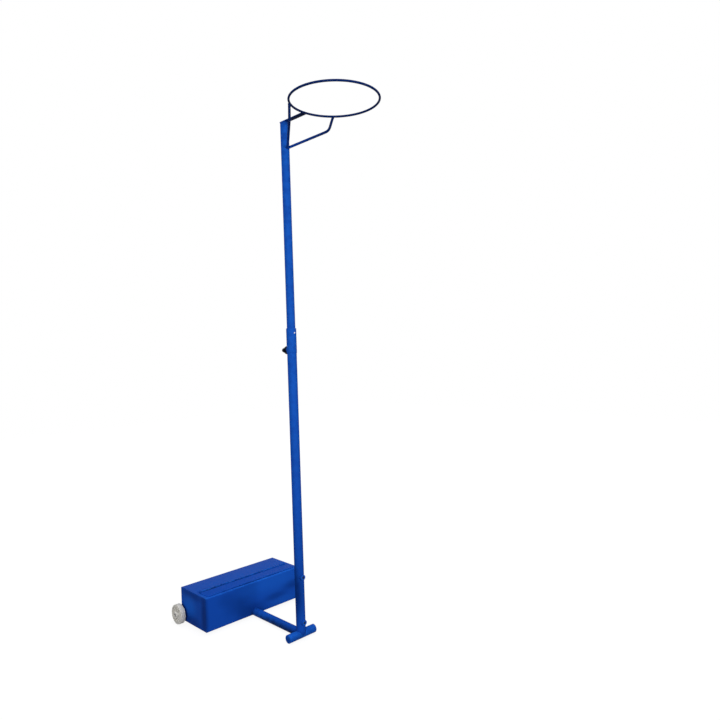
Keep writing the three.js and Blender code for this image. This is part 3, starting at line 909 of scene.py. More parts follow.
@dataclass
class LowerPole:
    """The outer tube of the pole with its two front screws and the sleeve round its top."""

    shop: Workshop
    radius: float = 0.0225
    bore: float = 0.0205
    top: float = 1.471
    foot_axis: float = 0.020
    foot_reach: float = 0.0203
    leg_axis: float = 0.0215
    leg_reach: float = 0.0203
    collar_bore: float = 0.0228
    collar_radius: float = 0.0238
    collar_length: float = 0.115
    collar_round: float = 0.0005
    bore_round: float = 0.0004
    boss_radius: float = 0.0125
    boss_hole: float = 0.0063
    boss_face: float = -0.0785
    boss_root: float = 0.004
    boss_round: float = 0.0014
    hole_round: float = 0.0008
    boss_sink: float = 0.0008
    boss_weld: float = 0.0015
    sleeve_weld: float = 0.0013
    weld_sink: float = 0.0002
    screw_radius: float = 0.0060
    screw_chamfer: float = 0.0008
    screw_head: float = -0.0765
    screw_tip: float = -0.0683
    socket_radius: float = 0.0033
    socket_depth: float = 0.004
    screw_heights: tuple[tuple[str, float], ...] = (("lower", 0.080), ("upper", 0.295))
    rivet_height: float = 1.449
    rivet_radius: float = 0.0034
    rivet_rise: float = 0.0020

    def coped(self, point: Vector) -> Vector:
        """Lifts a point of the pole's foot onto the cross foot, and over the leg behind.

        Args:
            point: A point of the pole.

        Returns:
            The point, moved if it is at the foot.
        """
        if point.z > self.foot_axis + NEAR:
            return point
        across = point.y - POLE_Y
        height = self.foot_axis + math.sqrt(max(0.0, self.foot_reach ** 2 - across ** 2))
        if across > 0 and abs(point.x) < self.leg_reach:
            height = max(height, self.leg_axis + math.sqrt(self.leg_reach ** 2 - point.x ** 2))
        return Vector((point.x, point.y, height))

    def tube(self) -> None:
        """Makes the lower pole itself."""
        shape = Shape.turned(Axis.Z, (0, POLE_Y, 0), [
            (self.radius, self.foot_axis), (self.radius, self.top, RIM),
            (self.bore, self.top, RIM), (self.bore, self.foot_axis)], steps=96, ring=True)
        shape.move(self.coped)
        self.shop.fit("pole_outer", shape, "lower_pole")

    def sleeve(self) -> None:
        """Makes the sleeve round the pole's top, the weld at its lower rim and the rivet on its front."""
        low, bore, radius = self.top - self.collar_length, self.collar_bore, self.collar_radius
        self.shop.fit("pole_sleeve", Shape.turned(Axis.Z, (0, POLE_Y, 0), [
            (radius, low, self.collar_round), (radius, self.top, RIM), (bore, self.top, self.bore_round),
            (bore, low, self.bore_round)],
            steps=96, ring=True), "pole_collar")
        self.shop.fit("sleeve_weld", Shape.seam(
            self.sleeve_weld, 72, lambda angle: about_pole(bore + self.weld_sink, angle, low)))
        face, reach, rise = POLE_Y - radius, self.rivet_radius, self.rivet_rise
        self.shop.fit("sleeve_rivet", Shape.turned(Axis.Y, (0, 0, self.rivet_height), [
            (0, face - rise), (reach * 0.45, face - rise * 0.9), (reach * 0.80, face - rise * 0.6),
            (reach, face - rise * 0.2), (reach, face + rise * 0.3), (0, face + rise * 0.3)],
            steps=36), slot=Slot.ZINC)

    def screw(self, height: float) -> Shape:
        """A screw with a hexagon socket in its face.

        Args:
            height: The height of its middle.

        Returns:
            The screw.
        """
        shape = Shape()
        place = Matrix.Translation((0, self.screw_head, height)) @ Matrix.Rotation(math.pi / 2, 4, "X")
        rim = shape.circle(self.socket_radius, 6, place)
        floor = shape.grow(rim)
        bmesh.ops.translate(shape.bm, vec=(0, self.socket_depth, 0), verts=corners(floor))
        bmesh.ops.holes_fill(shape.bm, edges=floor, sides=0)
        outer = shape.circle(self.screw_radius - self.screw_chamfer, 36, place)
        bmesh.ops.bridge_loops(shape.bm, edges=rim + outer)
        for end in (self.screw_head + self.screw_chamfer, self.screw_tip):
            outer = shape.grow(outer)
            for vert in corners(outer):
                across = Vector((vert.co.x, 0, vert.co.z - height)).normalized() * self.screw_radius
                vert.co = across + Vector((0, end, height))
        bmesh.ops.holes_fill(shape.bm, edges=outer, sides=0)
        return shape.outward()

    def bosses(self) -> None:
        """Makes the round bosses on the pole's front, their welds and their screws."""
        back = POLE_Y - self.radius + self.boss_root
        reach = self.boss_radius + PROUD
        for level, height in self.screw_heights:
            boss = Shape.turned(Axis.Y, (0, 0, height), [
                (self.boss_radius, self.boss_face, self.boss_round), (self.boss_radius, back),
                (self.boss_hole, back), (self.boss_hole, self.boss_face, self.hole_round)],
                steps=48, ring=True)
            boss.move(lambda point: point if point.y <= back - NEAR else on_tube(
                point, self.radius, True, self.boss_sink))
            self.shop.fit(f"boss_{level}", boss, f"pole_boss_{level}")
            weld = Shape.saddle(self.boss_weld, 60, height, (reach, reach), self.radius, True,
                                self.weld_sink)
            self.shop.fit(f"boss_weld_{level}", weld)
            self.shop.fit(f"screw_{level}", self.screw(height), f"pole_screw_{level}", slot=Slot.BLACK_STEEL)

    def build(self) -> None:
        """Makes the lower pole."""
        self.tube()
        self.sleeve()
        self.bosses()


@dataclass
class HandClamp:
    """The nut boss on the back of the sleeve, the clamp screw and its three-lobed hand knob."""

    shop: Workshop
    height: float = 1.369
    sleeve_radius: float = 0.0238
    boss_radius: float = 0.010
    boss_hole: float = 0.0053
    boss_face: float = -0.0142
    boss_root: float = 0.004
    boss_round: float = 0.0012
    hole_round: float = 0.0005
    boss_sink: float = 0.0006
    boss_weld: float = 0.0014
    weld_sink: float = 0.0002
    screw_radius: float = 0.005
    screw_start: float = -0.0249
    screw_end: float = -0.0020
    thread_pitch: float = 0.0015
    thread_depth: float = 0.0006
    thread_start: float = 0.0008
    crest_shares: tuple[float, float] = (0.4, 0.55)
    knob_near: float = -0.0117
    knob_far: float = 0.0023
    knob_mid: float = 0.0175
    knob_lobe: float = 0.0035
    knob_points: int = 96
    neck_rows: int = 3

    def boss(self) -> None:
        """Makes the nut boss, fitted to the curve of the sleeve, and its weld."""
        back = POLE_Y + self.sleeve_radius - self.boss_root
        shape = Shape.turned(Axis.Y, (0, 0, self.height), [
            (self.boss_radius, back), (self.boss_radius, self.boss_face, self.boss_round),
            (self.boss_hole, self.boss_face, self.hole_round), (self.boss_hole, back)], steps=48, ring=True)
        shape.move(lambda point: point if point.y > back + NEAR else on_tube(
            point, self.sleeve_radius, False, self.boss_sink))
        self.shop.fit("nut_boss", shape, "clamp_boss")
        reach = self.boss_radius + PROUD
        weld = Shape.saddle(self.boss_weld, 48, self.height, (reach, reach), self.sleeve_radius, False,
                            self.weld_sink)
        self.shop.fit("nut_boss_weld", weld)

    def screw(self) -> None:
        """Makes the clamp screw with the ridges of its thread."""
        root, crest, pitch = self.screw_radius - self.thread_depth, self.screw_radius, self.thread_pitch
        profile: list[tuple] = [(0, self.screw_start), (root, self.screw_start)]
        place = self.screw_start + self.thread_start
        while place + pitch < self.screw_end:
            profile.append((root, place))
            profile += [(crest, place + pitch * share) for share in self.crest_shares]
            place += pitch
        profile += [(root, place), (root, self.screw_end), (0, self.screw_end)]
        shape = Shape.turned(Axis.Y, (0, 0, self.height), profile, steps=32)
        self.shop.fit("knob_screw", shape, "clamp_screw", slot=Slot.ZINC, body=Body.CLAMP_HANDLE)

    def knob(self) -> None:
        """Makes the hand knob: three soft lobes with a crowned face, a rolled rim and a round neck."""
        neck, depth = self.knob_mid * 0.50, self.knob_far - self.knob_near
        # each row: the radius of the round neck or a share of the lobed outline, and its place along the knob
        rows = [(neck * 0.96, 0.0), (neck, 0.0006), (neck, 0.0018), (0.84, 0.0022), (0.95, 0.0028),
                (1.0, 0.0044), (1.0, 0.0118), (0.975, 0.0128), (0.92, 0.0135), (0.62, depth - 0.0001),
                (0.36, depth)]
        shape = Shape()
        place = Matrix.Translation((0, self.knob_near, self.height)) @ Matrix.Rotation(-math.pi / 2, 4, "X")
        first = loop = shape.circle(1.0, self.knob_points, place)
        for index, (size, along) in enumerate(rows):
            loop = shape.grow(loop) if index else first
            for vert in corners(loop):
                angle = math.atan2(vert.co.z - self.height, vert.co.x)
                lobe = self.knob_mid + self.knob_lobe * math.cos(3 * (angle - math.pi))
                radius = size if index < self.neck_rows else size * lobe
                vert.co = Vector((radius * math.cos(angle), self.knob_near + along,
                                  self.height + radius * math.sin(angle)))
                vert[shape.edge] = float(4 < index < 8)
        bmesh.ops.holes_fill(shape.bm, edges=first + loop, sides=0)
        self.shop.fit("hand_knob", shape.outward(), "clamp_knob", slot=Slot.BLACK_PLASTIC,
                      body=Body.CLAMP_HANDLE)

    def build(self) -> None:
        """Makes the clamp."""
        self.boss()
        self.screw()
        self.knob()
        self.shop.dress("clamp_pad", Slot.BRASS)


@dataclass
class Mast:
    """The sliding inner tube with the flat arm, the two bent braces and the ring."""

    shop: Workshop
    radius: float = 0.020
    bore: float = 0.018
    low: float = 0.711
    high: float = 2.4289
    top_round: float = 0.0004
    cap_low: float = 2.4292
    cap_high: float = 2.4322
    cap_round: float = 0.0010
    cap_weld: float = 0.0010
    arm_half: float = 0.0125
    arm_low: float = 2.4325
    arm_high: float = 2.4375
    arm_front: float = -0.1927
    arm_back: float = -0.028
    arm_round: float = 0.0008
    arm_weld: float = 0.0014
    arm_inset: float = 0.001
    end_weld: float = 0.0016
    end_inset: float = 0.0012
    end_sink: float = 0.0006
    ring_centre: float = -0.393
    ring_radius: float = 0.195
    ring_rod: float = 0.005
    ring_height: float = 2.435
    brace_rod: float = 0.006
    brace_foot: float = 2.310
    brace_bend: float = 2.372
    brace_share: float = 0.9
    brace_run: float = 0.018
    brace_short: float = 0.004
    brace_spread: float = math.radians(41)
    brace_weld: float = 0.0013
    brace_sink: float = 0.0002
    brace_back: float = 0.0022
    foot_weld: float = 0.0018
    foot_wide: float = 0.0042
    foot_tall: float = 0.0012
    foot_rise: float = 0.0012

    def fit(self, name: str, shape: Shape, *stands_for: str) -> None:
        """Finishes a piece of the mast."""
        self.shop.fit(name, shape, *stands_for, body=Body.MAST_HEAD)

    def tube(self) -> None:
        """Makes the mast's tube, and the disc that closes its top with the weld under it."""
        radius, bore, low, high = self.radius, self.bore, self.cap_low, self.cap_high
        self.fit("mast_pole", Shape.turned(Axis.Z, (0, POLE_Y, 0), [
            (radius, self.low, RIM), (radius, self.high, self.top_round), (bore, self.high),
            (bore, self.low, RIM)], steps=96, ring=True), "mast_tube")
        disc = Shape.turned(Axis.Z, (0, POLE_Y, 0), [
            (0, low), (radius, low), (radius, high, self.cap_round), (0, high)], steps=96)
        weld = Shape.seam(self.cap_weld, 60, lambda angle: about_pole(radius - PROUD, angle, low))
        self.fit("mast_top", disc.join(weld), "mast_cap")

    def arm(self) -> None:
        """Makes the flat bar to the ring, with its welds on the mast's cap and across its end."""
        bar = Shape.block((-self.arm_half, self.arm_front, self.arm_low),
                          (self.arm_half, self.arm_back, self.arm_high))
        self.fit("flat_arm", bar.round_edges(self.arm_round, segments=2), "ring_arm")
        half = self.arm_half + PROUD
        reach = math.sqrt(self.radius ** 2 - half ** 2) - self.arm_inset
        seams = [Shape.bead([Vector((x, POLE_Y + y, self.arm_low)) for y in (-reach, reach)], self.arm_weld)
                 for x in (-half, half)]
        width = self.arm_half - self.end_inset
        for level in (self.arm_low + PROUD, self.arm_high - PROUD):
            seams.append(Shape.bead(arc(16, -width, width, lambda x: Vector(
                (x, self.ring_centre + math.sqrt(self.ring_radius ** 2 - x ** 2)
                 + self.ring_rod - self.end_sink, level))), self.end_weld))
        self.fit("arm_welds", seams[0].join(*seams[1:]))

    def ring(self) -> None:
        """Makes the ring of round rod."""
        shape = Shape()
        shape.circle(self.ring_rod, 20, Matrix.Translation((self.ring_radius, 0, 0))
                     @ Matrix.Rotation(math.pi / 2, 4, "X"))
        shape.spin(180)
        shape.set_by(Matrix.Translation((0, self.ring_centre, self.ring_height)))
        self.fit("goal_ring", shape.outward(), "ring")

    def brace_path(self, side: Side) -> list[Vector]:
        """The middle line of a brace: out from the mast, round one bend and up to the ring.

        Args:
            side: Which brace.

        Returns:
            Its points.
        """
        foot = Vector((0, POLE_Y - self.bore, self.brace_foot))
        head = Vector((side.value * self.ring_radius * math.sin(self.brace_spread),
                       self.ring_centre + self.ring_radius * math.cos(self.brace_spread), self.ring_height))
        bend = foot.lerp(head, self.brace_share)
        bend.z = self.brace_bend
        enter = bend + (foot - bend).normalized() * self.brace_run
        leave = bend + (head - bend).normalized() * self.brace_run
        end = head + (bend - head).normalized() * self.brace_short
        curve = arc(12, 0.0, 1.0, lambda share: enter.lerp(bend, share).lerp(bend.lerp(leave, share), share))
        straight = [foot.lerp(enter, index / 8) for index in range(8)]
        rise = [leave.lerp(end, index / 3) for index in range(1, 4)]
        return straight + curve + rise

    def braces(self) -> None:
        """Makes both bent braces, their welds at the ring and the weld round both at the mast."""
        reach, rod = self.brace_rod - self.brace_sink, self.brace_rod
        for side in Side:
            path = self.brace_path(side)
            rod_shape = Shape.drawn(path, [rod] * len(path), 24)
            self.fit(f"bent_brace_{side.word}", rod_shape, f"brace_{side.word}")
            along = (path[-1] - path[-2]).normalized()
            across = along.orthogonal().normalized()
            third = along.cross(across)
            middle = path[-1] - along * self.brace_back
            self.fit(f"brace_weld_{side.word}", Shape.seam(self.brace_weld, 36, lambda angle: middle
                     + across * reach * math.cos(angle) + third * reach * math.sin(angle)))
        self.fit("brace_foot_weld", Shape.saddle(
            self.foot_weld, 48, self.brace_foot + self.foot_rise,
            (rod + self.foot_wide, rod + self.foot_tall), self.radius, True, PROUD))

    def build(self) -> None:
        """Makes the mast and the ring head."""
        self.tube()
        self.arm()
        self.ring()
        self.braces()
        self.shop.dress("mast_plug", Slot.BLACK_PLASTIC)


@dataclass
class WeightBox:
    """The folded steel box with its end plates, its welds and the iron weights inside."""

    shop: Workshop
    half: float = 0.288
    front: float = 0.318
    back: float = 0.556
    low: float = 0.010
    top: float = 0.177
    sheet: float = 0.003
    fold: float = 0.0045
    mouth_half: float = 0.261
    mouth_front: float = 0.340
    mouth_back: float = 0.401
    seat: float = 0.0003
    plate_round: float = 0.0015
    end_weld: float = 0.0013
    weld_pitch: float = 0.0044
    weld_seat: float = 0.0001
    weld_sink: float = 0.0006
    weight_low: float = 0.0133
    weight_high: float = 0.1433
    weight_front: float = 0.344
    weight_back: float = 0.397
    weight_half: float = 0.2847
    weight_spacing: float = 0.004
    weight_count: int = 4
    weight_round: float = 0.004
    pocket_rim: float = 0.010
    pocket_depth: float = 0.022
    grip_radius: float = 0.0045
    grip_inset: float = 0.008

    def in_mouth(self, face: BMFace) -> bool:
        """Whether a face fills the mouth."""
        x, y, z = face.calc_center_median()
        return z > self.top - NEAR and abs(x) < self.mouth_half and self.mouth_front < y < self.mouth_back

    def shell(self) -> None:
        """Makes the folded sheet: four long folds, and the mouth cut in its top."""
        shape = Shape.block((-self.half, self.front, self.low), (self.half, self.back, self.top))
        shape.drop(lambda face: abs(face.normal.x) > FACING).round_edges(self.fold, segments=5, wear_and_highlight=False)
        # only the front top fold takes the lighter edge tone: partly paint wear, partly a painted highlight
        # along that rim
        for vert in shape.bm.verts:
            if vert.co.z > self.top - self.fold and vert.co.y < self.front + self.fold:
                vert[shape.edge] = 1.0
        for x in (-self.mouth_half, self.mouth_half):
            shape.slice((x, 0, 0), (1, 0, 0))
        for y in (self.mouth_front, self.mouth_back):
            shape.slice((0, y, 0), (0, 1, 0))
        shape.drop(self.in_mouth).outward().thicken(self.sheet)
        self.shop.fit("folded_box", shape.outward(), "box_body")

    def ends(self) -> None:
        """Makes both end plates and the welds all round them."""
        plate, bead = self.sheet + self.seat, self.sheet + self.weld_seat
        for side in Side:
            left, right = sorted((side.value * self.half, side.value * (self.half - self.sheet)))
            shape = Shape.block((left, self.front + plate, self.low + plate),
                                (right, self.back - plate, self.top - plate))
            shape.round_edges(self.plate_round, lambda edge: runs_along(edge, 0))
            self.shop.fit(f"end_plate_{side.word}", shape, f"box_end_{side.word}")
            place = side.value * (self.half - self.weld_sink)
            front, back, low, top = self.front + bead, self.back - bead, self.low + bead, self.top - bead
            path = [Vector((place, y, z)) for y, z in ((front, low), (back, low), (back, top), (front, top))]
            weld = Shape.bead(path, self.end_weld, closed=True, pitch=self.weld_pitch)
            self.shop.fit(f"end_weld_{side.word}", weld)

    def weight(self, start: float, end: float) -> Shape:
        """One cast weight with a pocket in its top.

        Args:
            start: Where it starts along the box.
            end: Where it ends.

        Returns:
            The weight.
        """
        shape = Shape.block((start, self.weight_front, self.weight_low),
                            (end, self.weight_back, self.weight_high))
        shape.round_edges(self.weight_round)
        top = max(shape.bm.faces, key=lambda face: face.calc_center_median().z)
        bmesh.ops.inset_region(shape.bm, faces=[top], thickness=self.pocket_rim, depth=0.0)
        pushed = bmesh.ops.extrude_discrete_faces(shape.bm, faces=[top])["faces"]
        verts = list({vert for face in pushed for vert in face.verts})
        bmesh.ops.translate(shape.bm, vec=(0, 0, -self.pocket_depth), verts=verts)
        bmesh.ops.remove_doubles(shape.bm, verts=shape.bm.verts[:], dist=MERGE)
        return shape.outward()

    def weights(self) -> None:
        """Makes the row of weights, each with a grip bar across its pocket."""
        gaps = (self.weight_count + 1) * self.weight_spacing
        length = (2 * self.weight_half - gaps) / self.weight_count
        middle = (self.weight_front + self.weight_back) / 2
        radius, inset = self.grip_radius, self.grip_inset
        for index in range(self.weight_count):
            start = -self.weight_half + self.weight_spacing + index * (length + self.weight_spacing)
            end, number = start + length, index + 1
            self.shop.fit(f"cast_weight_{number}", self.weight(start, end), f"ballast_weight_{number}",
                          slot=Slot.CAST_IRON)
            grip = Shape.turned(Axis.X, (0, middle, self.weight_high - inset), [
                (0, start + inset), (radius, start + inset), (radius, end - inset), (0, end - inset)],
                steps=24)
            self.shop.fit(f"weight_grip_{number}", grip, slot=Slot.CAST_IRON)

    def build(self) -> None:
        """Makes the box and its weights."""
        self.shell()
        self.ends()
        self.weights()


@dataclass
class FlapLid:
    """The flap over the box's mouth and the long hinge that carries it."""

    shop: Workshop
    half: float = 0.270
    front: float = 0.331
    back: float = 0.4031
    low: float = 0.1773
    high: float = 0.1811
    wall: float = 0.002
    corner: float = 0.018
    edge_round: float = 0.0014
    hinge_y: float = 0.408
    hinge_z: float = 0.1816
    hinge_half: float = 0.2677
    pin_radius: float = 0.0025
    pin_round: float = 0.0010
    bore: float = 0.0028
    knuckle: float = 0.0043
    knuckle_round: float = 0.0005
    leaf: float = 0.0015
    leaf_round: float = 0.0004
    leaf_gap: float = 0.0003
    tongue_lap: float = 0.0018
    tongue_thinner: float = 0.0001
    leaf_reach: float = 0.022
    pitch: float = 0.040
    gap: float = 0.002
    tack_count: int = 6
    tack_start: float = -0.225
    tack_pitch: float = 0.09
    tack_half: float = 0.011
    tack_weld: float = 0.0012
    tack_rise: float = 0.0002

    def panel(self) -> None:
        """Makes the lid's sheet, turned down at its front and its ends."""
        shape = Shape.block((-self.half, self.front, self.low), (self.half, self.back, self.high))
        shape.round_edges(self.corner, lambda edge: runs_along(edge, 2)
                          and edge.verts[0].co.y < self.front + NEAR, segments=8, wear_and_highlight=False)
        shape.drop(lambda face: face.normal.z < -FACING or face.normal.y > FACING)
        # the lid's top edges take the lighter edge tone, partly paint wear and partly a painted highlight
        shape.round_edges(self.edge_round, lambda edge: all(
            vert.co.z > self.high - NEAR for vert in edge.verts))
        self.shop.fit("flap_panel", shape.thicken(self.wall).outward(), "box_lid", body=Body.LID)

    def hinge_leaf(self, first: int, sign: int) -> Shape:
        """One leaf of the hinge with every other knuckle.

        Args:
            first: The number of its first knuckle.
            sign: 1 for the leaf behind the pin, -1 for the leaf in front.

        Returns:
            The leaf.
        """
        y, z, half = self.hinge_y, self.hinge_z, self.hinge_half
        low = z - self.knuckle
        near, far = sorted((y + sign * (self.knuckle + self.leaf_gap), y + sign * self.leaf_reach))
        shape = Shape.block((-half, near, low), (half, far, low + self.leaf)).round_edges(
            self.leaf_round, segments=2)
        count = 2 * int(half / self.pitch) + 1
        for index in range(first, count, 2):
            start = -half + 2 * half * index / count + self.gap / 2
            end = start + 2 * half / count - self.gap
            barrel = Shape.turned(Axis.X, (0, y, z), [
                (self.knuckle, start, self.knuckle_round), (self.knuckle, end, self.knuckle_round),
                (self.bore, end), (self.bore, start)], steps=28, ring=True)
            root, tip = sorted((y, y + sign * (self.knuckle + self.tongue_lap)))
            tongue = Shape.block((start, root, low), (end, tip, low + self.leaf - self.tongue_thinner))
            shape.join(barrel, tongue)
        return shape

    def hinge(self) -> None:
        """Makes both leaves, the short welds that hold the rear one to the box, and the pin."""
        self.shop.fit("rear_leaf", self.hinge_leaf(0, 1), "hinge_leaf_fixed")
        self.shop.fit("flap_leaf", self.hinge_leaf(1, -1), "hinge_leaf_moving", body=Body.LID)
        edge = self.hinge_y + self.leaf_reach + self.tack_rise
        level = self.hinge_z - self.knuckle + self.tack_rise
        starts = [self.tack_start + self.tack_pitch * index - self.tack_half
                  for index in range(self.tack_count)]
        tacks = [Shape.bead([Vector((x, edge, level)) for x in (start, start + 2 * self.tack_half)],
                            self.tack_weld) for start in starts]
        self.shop.fit("leaf_tacks", tacks[0].join(*tacks[1:]))
        end, radius, rounding = self.hinge_half, self.pin_radius, self.pin_round
        self.shop.fit("long_pin", Shape.turned(Axis.X, (0, self.hinge_y, self.hinge_z), [
            (0, -end), (radius, -end, rounding), (radius, end, rounding), (0, end)], steps=20), "hinge_pin")

    def build(self) -> None:
        """Makes the lid and its hinge."""
        self.panel()
        self.hinge()


@dataclass
class RunningGear:
    """The axle through the box and a moulded wheel on each end."""

    shop: Workshop
    axle_radius: float = 0.006
    axle_end: float = 0.3274
    axle_round: float = 0.0007
    bore: float = 0.0063
    inner: float = 0.300
    outer: float = 0.326
    hub_face: float = 0.334
    radius: float = 0.049
    rim: float = 0.040
    rim_draft: float = 0.0012
    rim_round: float = 0.0012
    hub: float = 0.017
    hub_draft: float = 0.0008
    hub_round: float = 0.0014
    hub_back_round: float = 0.0010
    web_round: float = 0.0020
    tyre_round: float = 0.0030
    recess: float = 0.007
    groove_place: float = 0.0065
    groove_half: float = 0.0011
    groove_round: float = 0.0003
    tread_depth: float = 0.0012
    ribs: int = 6
    rib_half: float = 0.0018
    rib_round: float = 0.0007
    rib_lap: float = 0.001
    rib_inset: float = 0.0016
    rib_clear: float = 0.0004
    spacer_start: float = 0.2883
    spacer_end: float = 0.2997
    spacer_radius: float = 0.0103
    pocket: float = 0.009
    pocket_floor: float = 0.322
    washer_start: float = 0.3223
    washer_end: float = 0.3238
    washer_radius: float = 0.0087
    washer_rounds: tuple[float, ...] = (0.0003, 0.0005, 0.0003)
    groove_end: float = 0.3254
    groove_depth: float = 0.0008
    clip_start: float = 0.3241
    clip_end: float = 0.3251
    clip_gap: float = 0.0003
    clip_lip: float = 0.0023
    clip_round: float = 0.0002
    clip_mouth: float = math.radians(70)

    def axle(self) -> None:
        """Makes the axle with its ends chamfered and a groove for a clip near each."""
        end, reach, neck = self.axle_end, self.axle_radius, self.axle_radius - self.groove_depth
        right = [(reach, self.washer_end), (neck, self.washer_end), (neck, self.groove_end),
                 (reach, self.groove_end), (reach, end, self.axle_round), (0, end)]
        left = [(corner[0], -corner[1], *corner[2:]) for corner in reversed(right)]
        shape = Shape.turned(Axis.X, (0, AXLE_Y, AXLE_HEIGHT), left + right, steps=40)
        self.shop.fit("axle_bar", shape, "axle")

    def wheel(self) -> Shape:
        """A wheel with a grooved tread, a rim, a ribbed web and a raised hub.

        Returns:
            The wheel, for the right end of an axle through the origin.
        """
        inner, outer, radius, half = self.inner, self.outer, self.radius, self.groove_half
        web_in, web_out, middle = inner + self.recess, outer - self.recess, (inner + outer) / 2
        drafted, bottom = self.rim - self.rim_draft, radius - self.tread_depth
        rim_round, web_round, tyre_round = self.rim_round, self.web_round, self.tyre_round
        tread: list[tuple] = []
        for place in (middle - self.groove_place, middle + self.groove_place):
            tread += [(radius, place - half, self.groove_round), (bottom, place - half * 0.5),
                      (bottom, place + half * 0.5), (radius, place + half, self.groove_round)]
        shape = Shape.turned(Axis.X, (0, 0, 0), [
            (radius, inner, tyre_round), *tread, (radius, outer, tyre_round), (self.rim, outer, rim_round),
            (drafted, web_out, web_round), (self.hub + self.hub_draft, web_out, web_round),
            (self.hub, self.hub_face, self.hub_round), (self.pocket, self.hub_face, RIM),
            (self.pocket, self.pocket_floor),
            (self.bore, self.pocket_floor), (self.bore, inner), (self.hub, inner, self.hub_back_round),
            (self.hub, web_in, web_round), (drafted, web_in, web_round), (self.rim, inner, rim_round)],
            steps=96, ring=True)
        for index in range(self.ribs):
            for low, high in ((web_out - self.rib_lap, outer - self.rib_inset),
                              (inner + self.rib_inset, web_in + self.rib_lap)):
                rib = Shape.block((low, -self.rib_half, self.hub - self.rib_lap),
                                  (high, self.rib_half, self.rim - self.rib_clear))
                rib.round_edges(self.rib_round, segments=2)
                shape.join(rib.set_by(Matrix.Rotation(FULL_TURN * (index + 0.5) / self.ribs, 4, "X")))
        return shape

    def tube(self, radius: float, start: float, end: float, *roundings: float) -> Shape:
        """A short tube on the axle, its outer corners rounded and then its bore's if a third is given."""
        return Shape.turned(Axis.X, (0, 0, 0), [
            (radius, start, roundings[0]), (radius, end, roundings[1]), (self.bore, end, *roundings[2:]),
            (self.bore, start)], steps=40, ring=True)

    def clip(self) -> Shape:
        """The open clip in the axle's groove, with its mouth down.

        Returns:
            The clip, for the right end of an axle through the origin.
        """
        inner = self.axle_radius - self.groove_depth + self.clip_gap
        outer = self.axle_radius + self.clip_lip
        start = -math.pi / 2 + self.clip_mouth / 2
        shape = Shape()
        section = shape.bm.faces.new([
            shape.bm.verts.new((place, radius * math.cos(start), radius * math.sin(start)))
            for radius, place in ((inner, self.clip_start), (outer, self.clip_start),
                                  (outer, self.clip_end), (inner, self.clip_end))])
        bmesh.ops.spin(shape.bm, geom=[section], cent=(0, 0, 0), axis=(1, 0, 0), dvec=(0, 0, 0),
                       angle=FULL_TURN - self.clip_mouth, steps=40, use_merge=False)
        return shape.outward().round_edges(
            self.clip_round, lambda edge: edge.calc_face_angle(0.0) > 1.0, segments=2)

    def build(self) -> None:
        """Makes the axle, both wheels, and the spacer, washer and clip in each hub's reach."""
        self.axle()
        for side, body in ((Side.LEFT, Body.LEFT_WHEEL), (Side.RIGHT, Body.RIGHT_WHEEL)):
            place = Matrix.Translation((0, AXLE_Y, AXLE_HEIGHT)) @ side.turn()
            self.shop.fit(f"moulded_wheel_{side.word}", self.wheel().set_by(place), f"wheel_{side.word}",
                          slot=Slot.NYLON, body=body)
            spacer = self.tube(self.spacer_radius, self.spacer_start, self.spacer_end, RIM, RIM)
            washer = self.tube(self.washer_radius, self.washer_start, self.washer_end, *self.washer_rounds)
            fittings = (("spacer", spacer, Slot.ZINC), ("washer", washer, Slot.ZINC),
                        ("clip", self.clip(), Slot.BLACK_STEEL))
            for name, shape, slot in fittings:
                named = f"{name}_{side.word}"
                self.shop.fit(named, shape.set_by(place), f"axle_{named}", slot=slot)


# Studio


@dataclass(frozen=True)
class Lamp:
    """A square lamp: where it hangs, the length of its side and its power in watts."""

    name: str
    place: Point
    size: float
    power: float


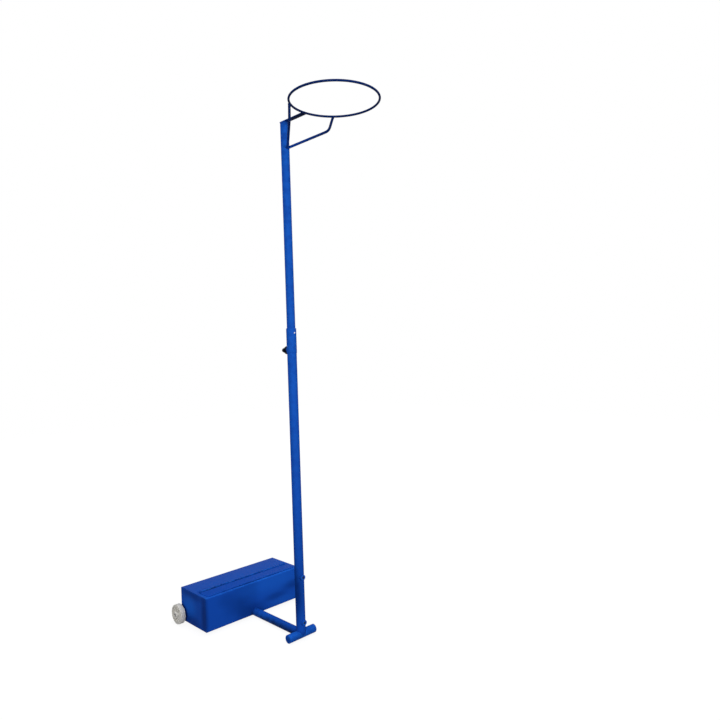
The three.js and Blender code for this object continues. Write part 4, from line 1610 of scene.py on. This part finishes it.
@dataclass
class Studio:
    """The pale floor, the soft lamps, the white surround and the camera."""

    floor_half: float = 9.0
    ambient: float = 0.20
    floor_glow: float = 0.86
    glow_level: float = 1.05
    floor_grey: float = 0.20
    pool_start: float = 0.9
    pool_end: float = 2.4
    lamps: tuple[Lamp, ...] = (
        Lamp("key", (1.2, -8.6, 2.3), 3.0, 310.0),
        Lamp("top", (0.6, 0.8, 7.5), 3.5, 255.0),
        Lamp("fill", (-5.8, -3.2, 2.2), 3.5, 240.0))
    lamp_aim: Point = (0.0, 0.0, 1.0)
    sensor: float = 36.0
    lens: float = 31.097
    far: float = 60.0
    place: Point = (-1.8432, -2.3481, 1.3750)
    right: Point = (0.707175, -0.706371, -0.030717)
    up: Point = (0.036845, -0.006568, 0.999299)

    def surround(self) -> None:
        """Sets a white surround where it is seen, and an even grey light elsewhere."""
        bpy.context.scene.world = bpy.data.worlds.new("surround")
        nodes = Nodes(bpy.context.scene.world)
        nodes.tree.nodes.remove(nodes.tree.nodes["Background"])
        light, white = (nodes.node("ShaderNodeBackground", (1, 1, 1), strength).outputs[0]
                        for strength in (self.ambient, 1.0))
        surface = nodes.tree.nodes["World Output"].inputs["Surface"]
        nodes.feed(surface, nodes.mixed(nodes.seen(), light, white))

    def floor(self) -> None:
        """Lays a white floor that keeps a soft shadow near the post, and sends up little light from below."""
        nodes = Nodes(bpy.data.materials.new("studio_floor"))
        nodes.tree.nodes.remove(nodes.tree.nodes["Principled BSDF"])
        white, grey = (nodes.node("ShaderNodeBsdfDiffuse", (level,) * 3).outputs[0]
                       for level in (1.0, self.floor_grey))
        glow = nodes.node("ShaderNodeEmission", Strength=self.glow_level).outputs[0]
        place = nodes.node("ShaderNodeTexCoord").outputs["Object"]
        reach = nodes.node("ShaderNodeVectorMath", place, operation="LENGTH").outputs["Value"]
        share = nodes.band(reach, self.pool_start, self.pool_end, self.floor_glow, 1.0, "SMOOTHSTEP")
        surface = nodes.tree.nodes["Material Output"].inputs["Surface"]
        nodes.feed(surface, nodes.mixed(nodes.seen(), grey, nodes.mixed(share, white, glow)))
        mesh, grid = bpy.data.meshes.new("studio_floor"), bmesh.new()
        bmesh.ops.create_grid(grid, x_segments=1, y_segments=1, size=self.floor_half)
        grid.to_mesh(mesh)
        grid.free()
        mesh.materials.append(nodes.owner)
        placed("studio_floor", mesh)

    def light(self) -> None:
        """Hangs the lamps, which all face the post."""
        for lamp in self.lamps:
            data = bpy.data.lights.new(lamp.name, "AREA")
            data.shape, data.size, data.energy = "SQUARE", lamp.size, lamp.power
            obj = placed(lamp.name, data)
            obj.location = lamp.place
            obj.rotation_euler = (Vector(self.lamp_aim) - obj.location).to_track_quat("-Z", "Y").to_euler()

    def camera(self) -> None:
        """Sets up the camera at the photograph's viewing angle."""
        data = bpy.data.cameras.new("camera")
        data.sensor_width, data.lens, data.clip_end = self.sensor, self.lens, self.far
        obj = placed("camera", data)
        right, up = Vector(self.right), Vector(self.up)
        turn = Matrix((right, up, right.cross(up))).transposed().to_4x4()
        obj.matrix_world = Matrix.Translation(self.place) @ turn
        bpy.context.scene.camera = obj

    def build(self) -> None:
        """Sets the studio up."""
        bpy.context.scene.view_settings.view_transform = "Standard"
        self.surround()
        self.floor()
        self.light()
        self.camera()


def main() -> None:
    """Builds the studio and the whole post, piece by piece."""
    logging.basicConfig(level=logging.INFO, format="%(message)s")
    Studio().build()
    shop = Workshop()
    for assembly in (FootAndLeg, LowerPole, HandClamp, Mast, WeightBox, FlapLid, RunningGear):
        log.info("%s", assembly.__name__)
        assembly(shop).build()
    log.info("%d pieces", shop.count)


if __name__ == "__main__":
    main()
